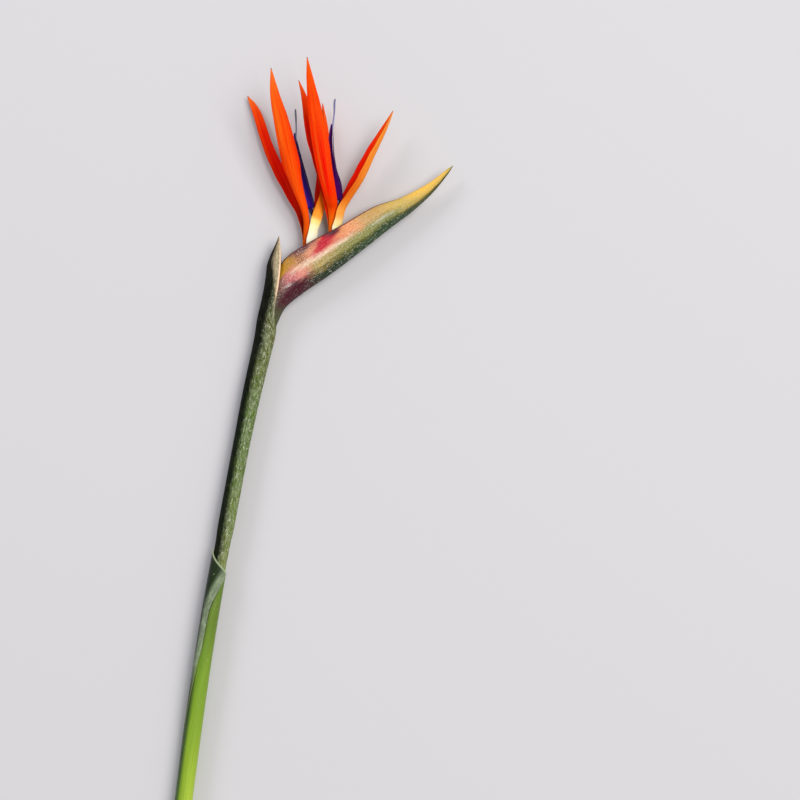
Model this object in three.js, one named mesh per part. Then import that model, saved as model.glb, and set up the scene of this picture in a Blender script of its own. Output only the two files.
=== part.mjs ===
// A bird of paradise flower, cut and laid on its side. Sizes are in millimetres, +Z is up and the
// surface that it lies on is z = 0.
//
// Every place is measured from the neck, where the stem turns into the spathe: +Y runs from the cut
// end towards the head, +X towards the spathe's tip. At the end the whole flower is moved so that the
// origin lies under the middle of its box.

import * as THREE from "three";

const point = ([x, y, z]) => new THREE.Vector3(x, y, z);
const line = (...places) => new THREE.CatmullRomCurve3(places.map(point), false, "centripetal");
const radians = THREE.MathUtils.degToRad;
const UP = new THREE.Vector3(0, 0, 1);

// Driving dimensions of the stem and its two sheaths. Lengths along the stem are from the cut end.
const SCAPE = [
  [-75.4, -435.5, 5.9],
  [-61.4, -318, 7.2],
  [-46.8, -214.5, 8.8],
  [-35.4, -149.5, 8.9],
  [-18, -58.5, 7.7],
  [-9.1, -19.5, 6.7],
];
const STEM_LINE = line(...SCAPE, [-6.6, -6.5, 7]);
const RACHIS_LINE = line([-6.6, -6.5, 7], [-3, 4.4, 7.8], [3.4, 13.5, 8.4], [11, 20, 8.7]);
const STEM_NODE_AT = 228;
const STEM_RADIUS = 4.5;
const NODE_RADIUS = 3.2;
const UPPER_STEM_RADIUS = 4;
const RACHIS_RADIUS = 2.9;
const RACHIS_TIP_RADIUS = 2.2;

const SEAT_GAP = 0.3;
const LOWER_SHEATH_RADIUS = 5.75;
const LOWER_MOUTH_TIP_AT = 283;
const LOWER_MOUTH_DROP = 16;
const MARGIN_LAP = 0.45;

const UPPER_BRACT_FOOT_AT = 236;
const BRACT_LINE = line(
  ...SCAPE,
  [-6.6, -6.5, 7],
  [-3.4, 4, 7.9],
  [-1, 13, 8.4],
  [0.8, 27, 8.4],
  [1.2, 35, 8.5],
  [1.1, 42, 8.6],
  [0.8, 48, 8.7],
);

// The spathe is a folded boat: one line for its open rim, one for its keel, met section by section.
const SPATHE_RIM = line(
  [-13, -14, 0],
  [-9.6, 3, 0],
  [-4.5, 17.5, 0],
  [4.6, 33.2, 0],
  [22.4, 44.8, 0],
  [41, 54.6, 0],
  [61.8, 66.8, 0],
  [80.5, 73.4, 0],
  [98.5, 82.9, 0],
  [109.7, 91.3, 0],
  [113.9, 93.9, 0],
);
const SPATHE_KEEL = line(
  [-2.7, -14.6, 0],
  [0.3, -6.9, 0],
  [4.6, 1.2, 0],
  [15, 10.1, 0],
  [33.8, 22.8, 0],
  [53.9, 38, 0],
  [74.8, 54.5, 0],
  [88.2, 64.7, 0],
  [101.6, 77.3, 0],
  [111, 89.2, 0],
  [113.9, 93.6, 0],
);
const SPATHE_WALL = 1.2;

const SEPAL_THICKNESS = 0.9;
const SEPAL_EDGE = 0.6;
const ARROW_THICKNESS = 0.7;
const STYLE_RADIUS = 0.45;

const LOOKS = {
  stem: { color: 0x9db36a, roughness: 0.6 },
  sheath: { color: 0x5d7a3a, roughness: 0.5 },
  bract: { color: 0x4f5b35, roughness: 0.6 },
  spathe: { color: 0x8d6a4e, roughness: 0.5 },
  sepal: { color: 0xff5a10, roughness: 0.45 },
  arrow: { color: 0x2c1080, roughness: 0.4 },
  style: { color: 0x5b6a8c, roughness: 0.5 },
  stamens: { color: 0xd8cfc4, roughness: 0.8 },
  ovary: { color: 0xe8dfb4, roughness: 0.5 },
  bud: { color: 0xf0a860, roughness: 0.5 },
};

// A value along a piece: knots are [place from 0 to 1, value], joined smoothly without overshoot.
function profile(...knots) {
  const last = knots.length - 1;
  const slope = (i) => (knots[i + 1][1] - knots[i][1]) / (knots[i + 1][0] - knots[i][0]);
  const tangent = (i) => {
    if (i === 0) return slope(0);
    if (i === last) return slope(last - 1);
    const before = slope(i - 1);
    const after = slope(i);
    return before * after <= 0 ? 0 : (2 * before * after) / (before + after);
  };
  return (s) => {
    let i = 0;
    while (i < last - 1 && s > knots[i + 1][0]) i += 1;
    const span = knots[i + 1][0] - knots[i][0];
    const t = THREE.MathUtils.clamp((s - knots[i][0]) / span, 0, 1);
    const rise = tangent(i) * span * t * (1 - t) ** 2 - tangent(i + 1) * span * t ** 2 * (1 - t);
    return knots[i][1] * (1 + 2 * t) * (1 - t) ** 2 + knots[i + 1][1] * t ** 2 * (3 - 2 * t) + rise;
  };
}

// A direction that turns along a piece: knots are [place from 0 to 1, direction].
function turning(...knots) {
  const parts = [0, 1, 2].map((k) => profile(...knots.map(([at, way]) => [at, way[k]])));
  return (s) => point(parts.map((part) => part(s))).normalize();
}

const steps = (count) => Array.from({ length: count + 1 }, (unused, i) => i / count);

// Places from 0 to 1 where the rows of a piece lie: counts of even steps between given places.
function rowsBetween(...stretches) {
  return stretches.flatMap(([from, to, count], i) =>
    steps(count)
      .map((t) => THREE.MathUtils.lerp(from, to, t))
      .slice(i === 0 ? 0 : 1),
  );
}

// A closed geometry from points and faces, turned so that its faces point out.
function closedGeometry(points, faces) {
  let volume = 0;
  for (const [a, b, c] of faces) {
    volume += points[a].dot(points[b].clone().cross(points[c]));
  }
  const turned = volume < 0 ? faces.map(([a, b, c]) => [a, c, b]) : faces;
  const geometry = new THREE.BufferGeometry();
  geometry.setAttribute("position", new THREE.Float32BufferAttribute(points.flatMap((p) => p.toArray()), 3));
  geometry.setIndex(turned.flat());
  geometry.computeVertexNormals();
  return geometry;
}

// A thin body from rows of outer and inner points, with both faces cut into triangles alike.
function shell(rows) {
  const n = rows[0].outer.length;
  const last = rows.length - 1;
  const points = rows.flatMap((row) => [...row.outer, ...row.inner]);
  const faces = [];
  const outer = (r, i) => r * 2 * n + i;
  const inner = (r, i) => r * 2 * n + n + i;
  for (let r = 0; r < last; r += 1) {
    for (let i = 0; i < n - 1; i += 1) {
      faces.push([outer(r, i), outer(r, i + 1), outer(r + 1, i + 1)]);
      faces.push([outer(r, i), outer(r + 1, i + 1), outer(r + 1, i)]);
      faces.push([inner(r, i), inner(r + 1, i + 1), inner(r, i + 1)]);
      faces.push([inner(r, i), inner(r + 1, i), inner(r + 1, i + 1)]);
    }
    const e = n - 1;
    faces.push([outer(r, 0), outer(r + 1, 0), inner(r + 1, 0)]);
    faces.push([outer(r, 0), inner(r + 1, 0), inner(r, 0)]);
    faces.push([outer(r + 1, e), outer(r, e), inner(r, e)]);
    faces.push([outer(r + 1, e), inner(r, e), inner(r + 1, e)]);
  }
  for (let i = 0; i < n - 1; i += 1) {
    faces.push([outer(0, i + 1), outer(0, i), inner(0, i)]);
    faces.push([outer(0, i + 1), inner(0, i), inner(0, i + 1)]);
    faces.push([outer(last, i), outer(last, i + 1), inner(last, i + 1)]);
    faces.push([outer(last, i), inner(last, i + 1), inner(last, i)]);
  }
  return closedGeometry(points, faces);
}

// A solid round rod along a line, with its radius at each place.
function rod(path, radius, sides, rows) {
  const points = [];
  const faces = [];
  const places = steps(rows);
  for (const s of places) {
    const centre = path.getPointAt(s);
    const { across, above } = frameOn(path, s);
    for (let i = 0; i < sides; i += 1) {
      const angle = (2 * Math.PI * i) / sides;
      points.push(
        centre
          .clone()
          .addScaledVector(across, radius(s) * Math.cos(angle))
          .addScaledVector(above, radius(s) * Math.sin(angle)),
      );
    }
  }
  const foot = points.push(path.getPointAt(0)) - 1;
  const tip = points.push(path.getPointAt(1)) - 1;
  for (let i = 0; i < sides; i += 1) {
    const j = (i + 1) % sides;
    for (let r = 0; r < rows; r += 1) {
      faces.push([r * sides + i, r * sides + j, (r + 1) * sides + j]);
      faces.push([r * sides + i, (r + 1) * sides + j, (r + 1) * sides + i]);
    }
    faces.push([foot, j, i]);
    faces.push([tip, rows * sides + i, rows * sides + j]);
  }
  return closedGeometry(points, faces);
}

// The directions across a lying line (to its right) and above it.
function frameOn(path, s) {
  const along = path.getTangentAt(s);
  const across = along.clone().cross(UP).normalize();
  const above = across.clone().cross(along).normalize();
  return { along, across, above };
}

// A sheath is rolled round a line. Its section is an arc of an ellipse from one margin round the back
// to the other. The first margin laps a little over the last one.
function sheath({ path, foot, mouth, across, upright, wall, margin, lap, cover, places, sides }) {
  const length = path.getLength();
  const list = places.map((v) => {
    const row = { outer: [], inner: [] };
    for (const u of steps(sides)) {
      const roughly = THREE.MathUtils.lerp(foot, mouth(Math.PI), v) / length;
      const angle = margin(roughly * length) + cover(roughly * length) * (u - 0.5) + Math.PI;
      const s = THREE.MathUtils.clamp(THREE.MathUtils.lerp(foot, mouth(angle), v) / length, 0, 1);
      const { across: side, above } = frameOn(path, s);
      const centre = path.getPointAt(s);
      const at = (inset) => {
        const a = across(s * length) + lap * (1 - u) - inset;
        const b = upright(s * length) + lap * (1 - u) - inset;
        return centre
          .clone()
          .addScaledVector(side, a * Math.cos(angle))
          .addScaledVector(above, b * Math.sin(angle));
      };
      row.outer.push(at(0));
      row.inner.push(at(wall(s * length)));
    }
    return row;
  });
  return shell(list);
}

// A blade is folded along its midrib, which follows a line. Facing is where its hollow side looks,
// bend the angle that its margins turn up by, and roundness how gradually they do.
function blade(spec) {
  const { path, facing, width, bend, roundness = 1, thickness, edge } = spec;
  const { sweep = () => 0, places = steps(20), half = 3 } = spec;
  const fine = 6;
  const list = places.map((s) => {
    const centre = path.getPointAt(s);
    const along = path.getTangentAt(s);
    const hollow = facing(s);
    hollow.addScaledVector(along, -hollow.dot(along)).normalize();
    const across = hollow.clone().cross(along).normalize();
    const reach = width(s) / 2;
    const turn = radians(bend(s));
    const curve = [{ x: 0, y: 0, angle: 0 }];
    for (let i = 1; i <= half * fine; i += 1) {
      const angle = turn * ((i - 0.5) / (half * fine)) ** roundness;
      const before = curve[i - 1];
      const step = reach / (half * fine);
      curve.push({
        x: before.x + step * Math.cos(angle),
        y: before.y + step * Math.sin(angle),
        angle: turn * (i / (half * fine)) ** roundness,
      });
    }
    const row = { outer: [], inner: [] };
    for (let i = -half; i <= half; i += 1) {
      const side = Math.sign(i);
      const u = Math.abs(i) / half;
      const { x, y, angle } = curve[Math.abs(i) * fine];
      const middle = centre
        .clone()
        .addScaledVector(across, side * x)
        .addScaledVector(hollow, y)
        .addScaledVector(along, -sweep(s) * u);
      const normal = hollow
        .clone()
        .multiplyScalar(Math.cos(angle))
        .addScaledVector(across, -side * Math.sin(angle));
      const depth = Math.min(THREE.MathUtils.lerp(thickness, edge, u * u), 0.8 * width(s)) / 2;
      row.outer.push(middle.clone().addScaledVector(normal, -depth));
      row.inner.push(middle.clone().addScaledVector(normal, depth));
    }
    return row;
  });
  return shell(list);
}

const group = new THREE.Group();

function add(name, look, geometry) {
  const mesh = new THREE.Mesh(geometry, new THREE.MeshStandardMaterial({ ...LOOKS[look], metalness: 0 }));
  mesh.name = name;
  group.add(mesh);
}

// The stem is one rod: the scape up to the neck, then the rachis that the florets stand on.
function makeStem() {
  const scape = STEM_LINE.getLength();
  const whole = new THREE.CurvePath();
  whole.add(STEM_LINE);
  whole.add(RACHIS_LINE);
  const total = scape + RACHIS_LINE.getLength();
  const places = [
    ...steps(8).map((t) => (t * (STEM_NODE_AT - 6)) / total),
    ...steps(16).map((t) => THREE.MathUtils.lerp(STEM_NODE_AT + 6, total, t) / total),
  ];
  const radius = profile(
    [0, STEM_RADIUS],
    [(STEM_NODE_AT - 6) / total, STEM_RADIUS],
    [(STEM_NODE_AT + 6) / total, NODE_RADIUS],
    [LOWER_MOUTH_TIP_AT / total, NODE_RADIUS + 0.4],
    [(LOWER_MOUTH_TIP_AT + 20) / total, UPPER_STEM_RADIUS],
    [(scape - 4) / total, RACHIS_RADIUS + 0.2],
    [scape / total, RACHIS_RADIUS],
    [1, RACHIS_TIP_RADIUS],
  );
  const onWhole = {
    getPointAt: (t) => whole.getPointAt(places[Math.round(t * (places.length - 1))]),
    getTangentAt: (t) => whole.getTangentAt(places[Math.round(t * (places.length - 1))]),
  };
  const radiusAt = (t) => radius(places[Math.round(t * (places.length - 1))]);
  add("stem", "stem", rod(onWhole, radiusAt, 16, places.length - 1));
}

// The lower sheath covers the stem from the cut to a slanted mouth with its tip on the left. Its
// lapped margin starts at the right of the mouth and winds over the top to the left further down.
function makeLowerSheath() {
  const marginTurn = profile([0, 1.15], [0.5, 1.1], [0.68, 1], [0.8, 0.62], [0.9, 0.4], [1, 0.06]);
  const inner = profile(
    [0, STEM_RADIUS + SEAT_GAP],
    [0.8, STEM_RADIUS + SEAT_GAP],
    [1, STEM_RADIUS + SEAT_GAP + 0.3],
  );
  const outer = () => LOWER_SHEATH_RADIUS - MARGIN_LAP / 2;
  const geometry = sheath({
    path: STEM_LINE,
    foot: 0,
    mouth: (angle) => {
      const away = Math.abs(Math.atan2(Math.sin(angle - Math.PI), Math.cos(angle - Math.PI))) / Math.PI;
      return LOWER_MOUTH_TIP_AT - LOWER_MOUTH_DROP * away ** 0.8;
    },
    across: outer,
    upright: outer,
    wall: (at) => outer() - inner(at / LOWER_MOUTH_TIP_AT),
    margin: (at) => Math.PI * marginTurn(at / LOWER_MOUTH_TIP_AT),
    lap: MARGIN_LAP,
    cover: () => 2 * Math.PI - 0.06,
    places: steps(20),
    sides: 18,
  });
  add("lower_sheath", "sheath", geometry);
}

// The upper bract wraps the stem up to the neck, opens on the spathe's side and ends in a blade. Its
// sizes follow the way from the cut end along the stem, and on the blade the way back from its tip.
function makeUpperBract() {
  const length = BRACT_LINE.getLength();
  const knots = (stem, tip) =>
    profile(
      ...stem.map(([at, value]) => [at / length, value]),
      ...tip.map(([back, value]) => [1 - back / length, value]),
    );
  const foot = [[0, 4.5], [UPPER_BRACT_FOOT_AT, 4.5], [LOWER_MOUTH_TIP_AT, 4.8]];
  const stem = [...foot, [300, 5.35], [350, 5.45], [385, 6]];
  const wide = [[69, 6.6], [56, 7.05], [45, 7.7], [35, 8.3], [21, 8.3], [13, 6.4], [6, 3.2], [0, 0.35]];
  const high = [[69, 6.6], [56, 6.95], [45, 7.8], [35, 8.4], [21, 6.8], [13, 4.6], [6, 2.4], [0, 0.35]];
  const across = knots(stem, wide);
  const upright = knots(stem, high);
  const opening = knots([[0, 2]], [[70, 2], [63, 12], [58, 35], [52, 58], [45, 75], [35, 82], [0, 84]]);
  const wall = knots([[0, 0.9]], [[200, 0.95], [30, 1], [6, 0.8], [0, 0.25]]);
  const bladeFoot = (length - 76 - UPPER_BRACT_FOOT_AT) / (length - UPPER_BRACT_FOOT_AT);
  const geometry = sheath({
    path: BRACT_LINE,
    foot: UPPER_BRACT_FOOT_AT,
    mouth: () => length,
    across: (at) => across(at / length),
    upright: (at) => upright(at / length),
    wall: (at) => wall(at / length),
    margin: () => 0,
    lap: 0,
    cover: (at) => 2 * Math.PI - 2 * radians(opening(at / length)),
    places: rowsBetween([0, bladeFoot, 9], [bladeFoot, 1, 22]),
    sides: 16,
  });
  add("upper_bract", "bract", geometry);
}

// The spathe lies on one flank. Its half thickness, its middle height, the gap between its margins and
// the roundness of its section change from the neck to the tip.
function makeSpathe() {
  const stations = 10;
  const knots = (...values) => profile(...values.map(([at, value]) => [at / stations, value]));
  const swelling = [[0, 4.7], [1, 5.1], [2, 6.3], [3, 8], [4, 8.9]];
  const narrowing = [[5, 8.5], [6, 6.8], [7, 4.7], [8, 2.6], [9, 1], [10, 0.25]];
  const thickness = knots(...swelling, ...narrowing);
  const middle = knots([0, 6.9], [1, 7.4], [2, 8], [3, 8.2], [4, 8.2], [5, 8.3], [10, 9.2]);
  const slit = [[3, 2.4], [3.6, 5.2], [4.9, 5.2], [5.4, 3], [6, 1]];
  const gap = knots([0, 0.3], [2, 0.5], ...slit, [8, 0.3], [10, 0.03]);
  const fullness = knots([0, 0.5], [1, 0.52], [3, 0.66], [5, 0.75], [10, 0.8]);
  const half = 9;
  const list = steps(30).map((s) => {
    const rim = SPATHE_RIM.getPoint(s);
    const keel = SPATHE_KEEL.getPoint(s);
    const width = rim.distanceTo(keel);
    const wall = Math.min(SPATHE_WALL, 0.4 * thickness(s), 0.3 * width);
    const lean = 1 - 0.15 * Math.min(4 * s, 1);
    const row = { outer: [], inner: [] };
    for (let i = -half; i <= half; i += 1) {
      const side = -Math.sign(i);
      const f = (1 - Math.cos((Math.PI * Math.abs(i)) / half)) / 2;
      const swell = Math.max(Math.sin(Math.PI * f ** lean), 0) ** fullness(s);
      const flare = f ** 6;
      const start = (1.3 * wall) / width;
      const outer = keel.clone().lerp(rim, f);
      const inner = keel.clone().lerp(rim, start + (1 - start) * f);
      outer.z = Math.max(middle(s) + side * (thickness(s) * swell + (gap(s) + wall) * flare), 0);
      inner.z = Math.max(middle(s) + side * ((thickness(s) - wall) * swell + gap(s) * flare), wall);
      row.outer.push(outer);
      row.inner.push(inner);
    }
    return row;
  });
  add("spathe", "spathe", shell(list));
}

// The ovaries stand on the rachis; each carries the claws of one open floret on its flat top.
function makeOvaries() {
  const swelling = profile([0, 1.5], [0.35, 1.7], [0.75, 3.1], [1, 3.3]);
  const first = line([9, 23.4, 8.7], [12, 29, 8.7], [17.9, 35.1, 8.7]);
  const second = line([13.6, 22, 8.7], [24, 32, 8.7], [35.4, 43.6, 8.7]);
  add("floret_1_ovary", "ovary", rod(first, swelling, 10, 6));
  add("floret_2_ovary", "ovary", rod(second, swelling, 10, 8));
}

// Of each sepal: its midrib, then where its hollow side faces, its width and the turn of its margins,
// all three by place along it from 0 to 1.
const SEPALS = {
  floret_1_sepal_under: {
    path: line(
      [16, 37.6, 7],
      [16.9, 44.3, 6.8],
      [13.5, 62, 5.4],
      [8.8, 71.8, 5],
      [-5.8, 103.3, 4],
      [-14.5, 129.3, 3],
      [-20, 139.6, 2.6],
    ),
    facing: [[0, [0.8, 0, 0.6]], [1, [0.1, 0, 1]]],
    width: [
      [0, 3], [0.15, 4], [0.3, 6.5], [0.5, 9.2],
      [0.68, 7.4], [0.85, 6.3], [0.94, 4], [1, 0.4],
    ],
    bend: [[0, 30], [0.5, 38], [1, 20]],
  },
  floret_1_sepal_over: {
    path: line(
      [17, 37.2, 10.2],
      [18, 44.1, 10.4],
      [18.4, 51, 11],
      [18.6, 58, 13.8],
      [17.2, 66, 16.6],
      [12.3, 81.8, 20],
      [3, 121.7, 28],
      [-0.9, 137.4, 30.5],
      [-3.6, 154.8, 32],
    ),
    facing: [[0, [0, 0, -1]], [1, [-0.25, 0, -1]]],
    width: [
      [0, 3], [0.18, 4], [0.28, 5.8], [0.39, 9],
      [0.5, 12.4], [0.66, 11.2], [0.86, 6.4], [1, 0.4],
    ],
    bend: [[0, 25], [0.5, 34], [1, 20]],
  },
  floret_1_sepal_keel: {
    path: line(
      [21.4, 36.6, 8.5],
      [24.6, 45.2, 8.5],
      [25.7, 52.5, 8.2],
      [28.3, 60.8, 7.4],
      [30.8, 72, 6.2],
      [32.4, 90, 5],
      [32.6, 114, 4.2],
      [28.8, 134.8, 3.4],
    ),
    facing: [[0, [-1, 0.1, 0]], [0.25, [-1, 0, 0.05]], [0.42, [-1, 0, 0.5]], [1, [-1, 0, 0.5]]],
    width: [
      [0, 8], [0.09, 15], [0.16, 13.6], [0.21, 14.6],
      [0.45, 15.5], [0.65, 13], [0.85, 7], [1, 0.4],
    ],
    bend: [[0, 70], [0.5, 74], [1, 60]],
    roundness: 0.3,
  },
  floret_2_sepal_under: {
    path: line(
      [33.2, 46, 7.1],
      [33.8, 51, 7.1],
      [33.2, 58, 8],
      [32.2, 64.9, 10.6],
      [30.6, 74.6, 14.4],
      [24.2, 106.8, 19],
      [17.1, 137.9, 20],
      [13.8, 148.2, 19.6],
    ),
    facing: [[0, [0.7, 0, 0.7]], [1, [0.1, 0, 1]]],
    width: [
      [0, 3], [0.15, 4], [0.35, 7], [0.51, 9.6],
      [0.62, 11.2], [0.7, 10.2], [0.81, 6.6], [1, 0.4],
    ],
    bend: [[0, 30], [0.5, 34], [1, 20]],
  },
  floret_2_sepal_over: {
    path: line(
      [34.2, 45.8, 10.2],
      [34.7, 51.5, 10.2],
      [35, 57.5, 10.4],
      [35.4, 63, 11.6],
      [35.3, 66, 12.9],
      [35.1, 69, 15.4],
      [34, 75, 19.2],
      [31.2, 88.6, 23.6],
      [28.1, 108.8, 28.5],
      [21.8, 146.6, 36.5],
      [19.8, 161.1, 38.5],
    ),
    facing: [[0, [0, 0, -1]], [1, [-0.25, 0, -1]]],
    width: [
      [0, 3.2], [0.1, 4.2], [0.147, 5.8], [0.21, 8], [0.39, 10.6],
      [0.55, 12], [0.69, 10], [0.88, 4.9], [1, 0.4],
    ],
    bend: [[0, 25], [0.5, 34], [1, 20]],
  },
  floret_2_sepal_keel: {
    path: line(
      [38.4, 45.2, 8.6],
      [40.8, 53.4, 8.6],
      [43.2, 65, 9.2],
      [46.4, 71, 10],
      [55, 84.3, 11.5],
      [62.4, 100, 13],
      [70.5, 117.4, 14.5],
      [74.8, 128.9, 15.5],
    ),
    facing: [
      [0, [-1, 0.2, 0]], [0.2, [-1, 0.2, 0.12]],
      [0.42, [-0.73, 0.49, 0.47]], [1, [-0.73, 0.49, 0.47]],
    ],
    width: [
      [0, 8], [0.09, 14], [0.17, 12.4], [0.3, 13],
      [0.48, 15], [0.66, 12.6], [0.87, 6.6], [1, 0.4],
    ],
    bend: [[0, 70], [0.5, 74], [1, 60]],
    roundness: 0.3,
  },
};

function makeSepals() {
  for (const [name, { path, facing, width, bend, roundness = 0.6 }] of Object.entries(SEPALS)) {
    const geometry = blade({
      path,
      facing: turning(...facing),
      width: profile(...width),
      bend: profile(...bend),
      roundness,
      thickness: SEPAL_THICKNESS,
      edge: SEPAL_EDGE,
    });
    add(name, "sepal", geometry);
  }
}

// Each arrow is two petals grown together: a narrow claw, two barbs swept back, then a long trough.
// Its widths are given by how far they lie past the barbs.
const ARROW_FACING = turning([0, [1, 0, 0]], [1, [1, 0, 0.2]]);
const ARROWS = {
  1: {
    path: line(
      [17.6, 36.8, 8.3],
      [19.2, 44.5, 8.2],
      [18.6, 58, 9.8],
      [18.2, 66.6, 11],
      [14.4, 84.2, 13.4],
      [10.7, 106.6, 16.2],
      [10.9, 114.3, 17],
    ),
    barbsAt: 0.41,
    width: [[0, 13.4], [0.18, 11.6], [0.34, 7.2], [0.5, 5]],
  },
  2: {
    path: line(
      [34.5, 45.8, 8.2],
      [35.6, 52.3, 7.9],
      [36.6, 59, 8.3],
      [37.6, 65, 9.6],
      [37.5, 70.5, 11.6],
      [36.2, 77, 13.6],
      [34.9, 85.2, 15.6],
      [33.6, 106, 19.8],
      [35, 119.6, 22],
    ),
    barbsAt: 0.39,
    width: [[0, 12], [0.11, 13.6], [0.24, 8.6], [0.4, 6]],
  },
};

function makeArrows() {
  for (const [number, { path, barbsAt: b, width }] of Object.entries(ARROWS)) {
    const geometry = blade({
      path,
      facing: ARROW_FACING,
      width: profile([0, 2.8], [b - 0.05, 3.4], ...width.map(([past, value]) => [b + past, value]), [1, 1.6]),
      bend: profile([0, 60], [b, 74], [1, 60]),
      roundness: 0.35,
      sweep: profile([0, 0], [b - 0.05, 0], [b, 2.6], [b + 0.2, 1.5], [1, 0]),
      thickness: ARROW_THICKNESS,
      edge: SEPAL_EDGE,
      places: rowsBetween([0, b - 0.05, 6], [b - 0.05, b, 3], [b, b + 0.16, 4], [b + 0.16, 1, 9]),
    });
    add(`floret_${number}_arrow`, "arrow", geometry);
  }
}

// A point in the trough of an arrow, so far from its fold.
function inTrough(number, s, out) {
  const { path } = ARROWS[number];
  const facing = ARROW_FACING(s);
  const along = path.getTangentAt(s);
  facing.addScaledVector(along, -facing.dot(along)).normalize();
  return path.getPointAt(s).addScaledVector(facing, out).toArray();
}

const STYLE_ENDS = {
  1: [[12.1, 115.6, 17.4], [12, 122.6, 18.2], [11.6, 129.7, 18.6]],
  2: [[36.2, 121, 22.4], [36.9, 127.2, 23.4], [37.3, 135, 23.8]],
};

// The style runs up the trough of its arrow and past its tip, where the stigma thickens it.
function makeStyles() {
  const thick = profile([0, STYLE_RADIUS], [0.86, STYLE_RADIUS], [0.93, 0.6], [1, 0.35]);
  for (const number of [1, 2]) {
    const lower = steps(12).map((t) => THREE.MathUtils.lerp(0.01, 0.97, t));
    const trough = lower.map((s) => inTrough(number, s, THREE.MathUtils.lerp(1.75, 1.2, s)));
    add(`floret_${number}_style`, "style", rod(line(...trough, ...STYLE_ENDS[number]), thick, 6, 28));
  }
}

// The anthers lie side by side as one strip in the mouth of the trough.
const STAMENS_UP_TO = { 1: 0.86, 2: 0.97 };
function makeStamens() {
  for (const [number, top] of Object.entries(STAMENS_UP_TO)) {
    const out = (s) => THREE.MathUtils.lerp(3.4, 2.1, s);
    const lower = steps(4).map((t) => THREE.MathUtils.lerp(0.45, top, t));
    const half = profile([0, 0.35], [0.15, 0.5], [0.85, 0.5], [1, 0.35]);
    const path = line(...lower.map((s) => inTrough(number, s, out(s))));
    add(`floret_${number}_stamens`, "stamens", rod(path, half, 6, 10));
  }
}

// The third petal is a small scoop beside the foot of the arrow's claw.
function makeNectaryPetals() {
  const forms = {
    1: line([21, 40.2, 8.4], [22.1, 45.4, 8.4], [22.8, 52, 8.4], [22.9, 58, 8.6], [21.2, 65, 9.4]),
    2: line([37.6, 48, 8.5], [38.7, 52.3, 8.5], [39.8, 59, 8.9], [40.6, 65, 10.2], [40.4, 69.4, 11.6]),
  };
  for (const [number, path] of Object.entries(forms)) {
    const geometry = blade({
      path,
      facing: () => new THREE.Vector3(-1, 0, 0),
      width: profile([0, 1], [0.5, 1.6], [0.8, 2], [1, 0.7]),
      bend: profile([0, 30], [1, 40]),
      thickness: SEPAL_EDGE,
      edge: SEPAL_EDGE,
      places: steps(8),
      half: 2,
    });
    add(`floret_${number}_nectary_petal`, "arrow", geometry);
  }
}

// Three florets that haven't opened fill the spathe towards its tip.
function makeBuds() {
  const slim = profile([0, 0.9], [0.25, 1.9], [0.6, 2.2], [0.9, 1.1], [1, 0.3]);
  const forms = {
    bud_3: line([14.6, 19.8, 10.6], [30, 30.5, 11.4], [46.8, 46, 11.6], [60, 57.2, 10.8], [70, 62.8, 9.8]),
    bud_4: line([14.6, 18.8, 6.8], [30, 30, 5.9], [46.8, 45.6, 5.7], [60, 56.8, 6.6], [70, 62.2, 7.8]),
    bud_5: line([14.4, 16.2, 8.7], [31.4, 26.6, 8.6], [50.5, 42.2, 8.7], [62, 52, 8.8]),
  };
  for (const [name, path] of Object.entries(forms)) {
    add(name, "bud", rod(path, slim, 8, 10));
  }
}

makeStem();
makeLowerSheath();
makeUpperBract();
makeSpathe();
makeOvaries();
makeSepals();
makeArrows();
makeNectaryPetals();
makeStamens();
makeStyles();
makeBuds();

// The origin goes under the middle of the flower's box.
const box = new THREE.Box3().setFromObject(group);
const shift = box.getCenter(new THREE.Vector3()).negate().setZ(-box.min.z);
for (const mesh of group.children) {
  mesh.position.copy(shift);
}

export default group;
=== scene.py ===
# %% [markdown]
# # A cut bird of paradise flower
# The flower lies on its side on a pale table and is seen from straight above. Its solids already have
# the right shapes and sizes. This lesson gives each of them a finer surface and a finish: ribs, thin
# margins, veins, wax and the many colours of a living flower.

import math

import bpy
import numpy as np
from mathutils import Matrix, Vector


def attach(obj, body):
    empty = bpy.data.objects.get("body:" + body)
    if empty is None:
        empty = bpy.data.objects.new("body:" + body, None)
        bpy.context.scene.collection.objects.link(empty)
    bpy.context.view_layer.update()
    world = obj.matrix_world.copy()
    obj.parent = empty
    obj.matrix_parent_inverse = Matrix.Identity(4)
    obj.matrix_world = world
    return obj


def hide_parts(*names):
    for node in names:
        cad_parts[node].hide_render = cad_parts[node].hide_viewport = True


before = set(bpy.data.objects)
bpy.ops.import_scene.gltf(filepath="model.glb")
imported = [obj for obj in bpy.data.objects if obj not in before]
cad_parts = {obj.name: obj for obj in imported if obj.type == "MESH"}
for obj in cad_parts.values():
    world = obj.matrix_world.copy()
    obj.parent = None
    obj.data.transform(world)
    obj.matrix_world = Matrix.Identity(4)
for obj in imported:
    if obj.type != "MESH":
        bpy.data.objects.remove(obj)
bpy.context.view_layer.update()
print("solids:", len(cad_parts))

# %% [markdown]
# ## The camera
# A long lens from far above keeps the lying flower almost free of perspective, as in a photograph
# taken from a few steps away. A flat camera would come close, but it would lose the slight growth of
# the sepals that stand nearest to it. Places are measured in millimetres from the neck, where the stem
# turns into the spathe, because every part of the flower grows away from there.

# %% Place the camera
MM = 0.001
NECK = np.array([-16.51, 137.52, 0.0])
VIEW_CENTRE = np.array([79.3, -58.5, 0.0])
CAMERA_HEIGHT = 1959.0
LENS = 135.0
FILM_WIDTH = 36.0


def metres(points):
    """Places in millimetres from the neck, as places in the scene."""
    return (np.asarray(points, float) + NECK) * MM


def new_object(name, data):
    """An object of the scene that holds these data."""
    made = bpy.data.objects.new(name, data)
    bpy.context.scene.collection.objects.link(made)
    return made


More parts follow.
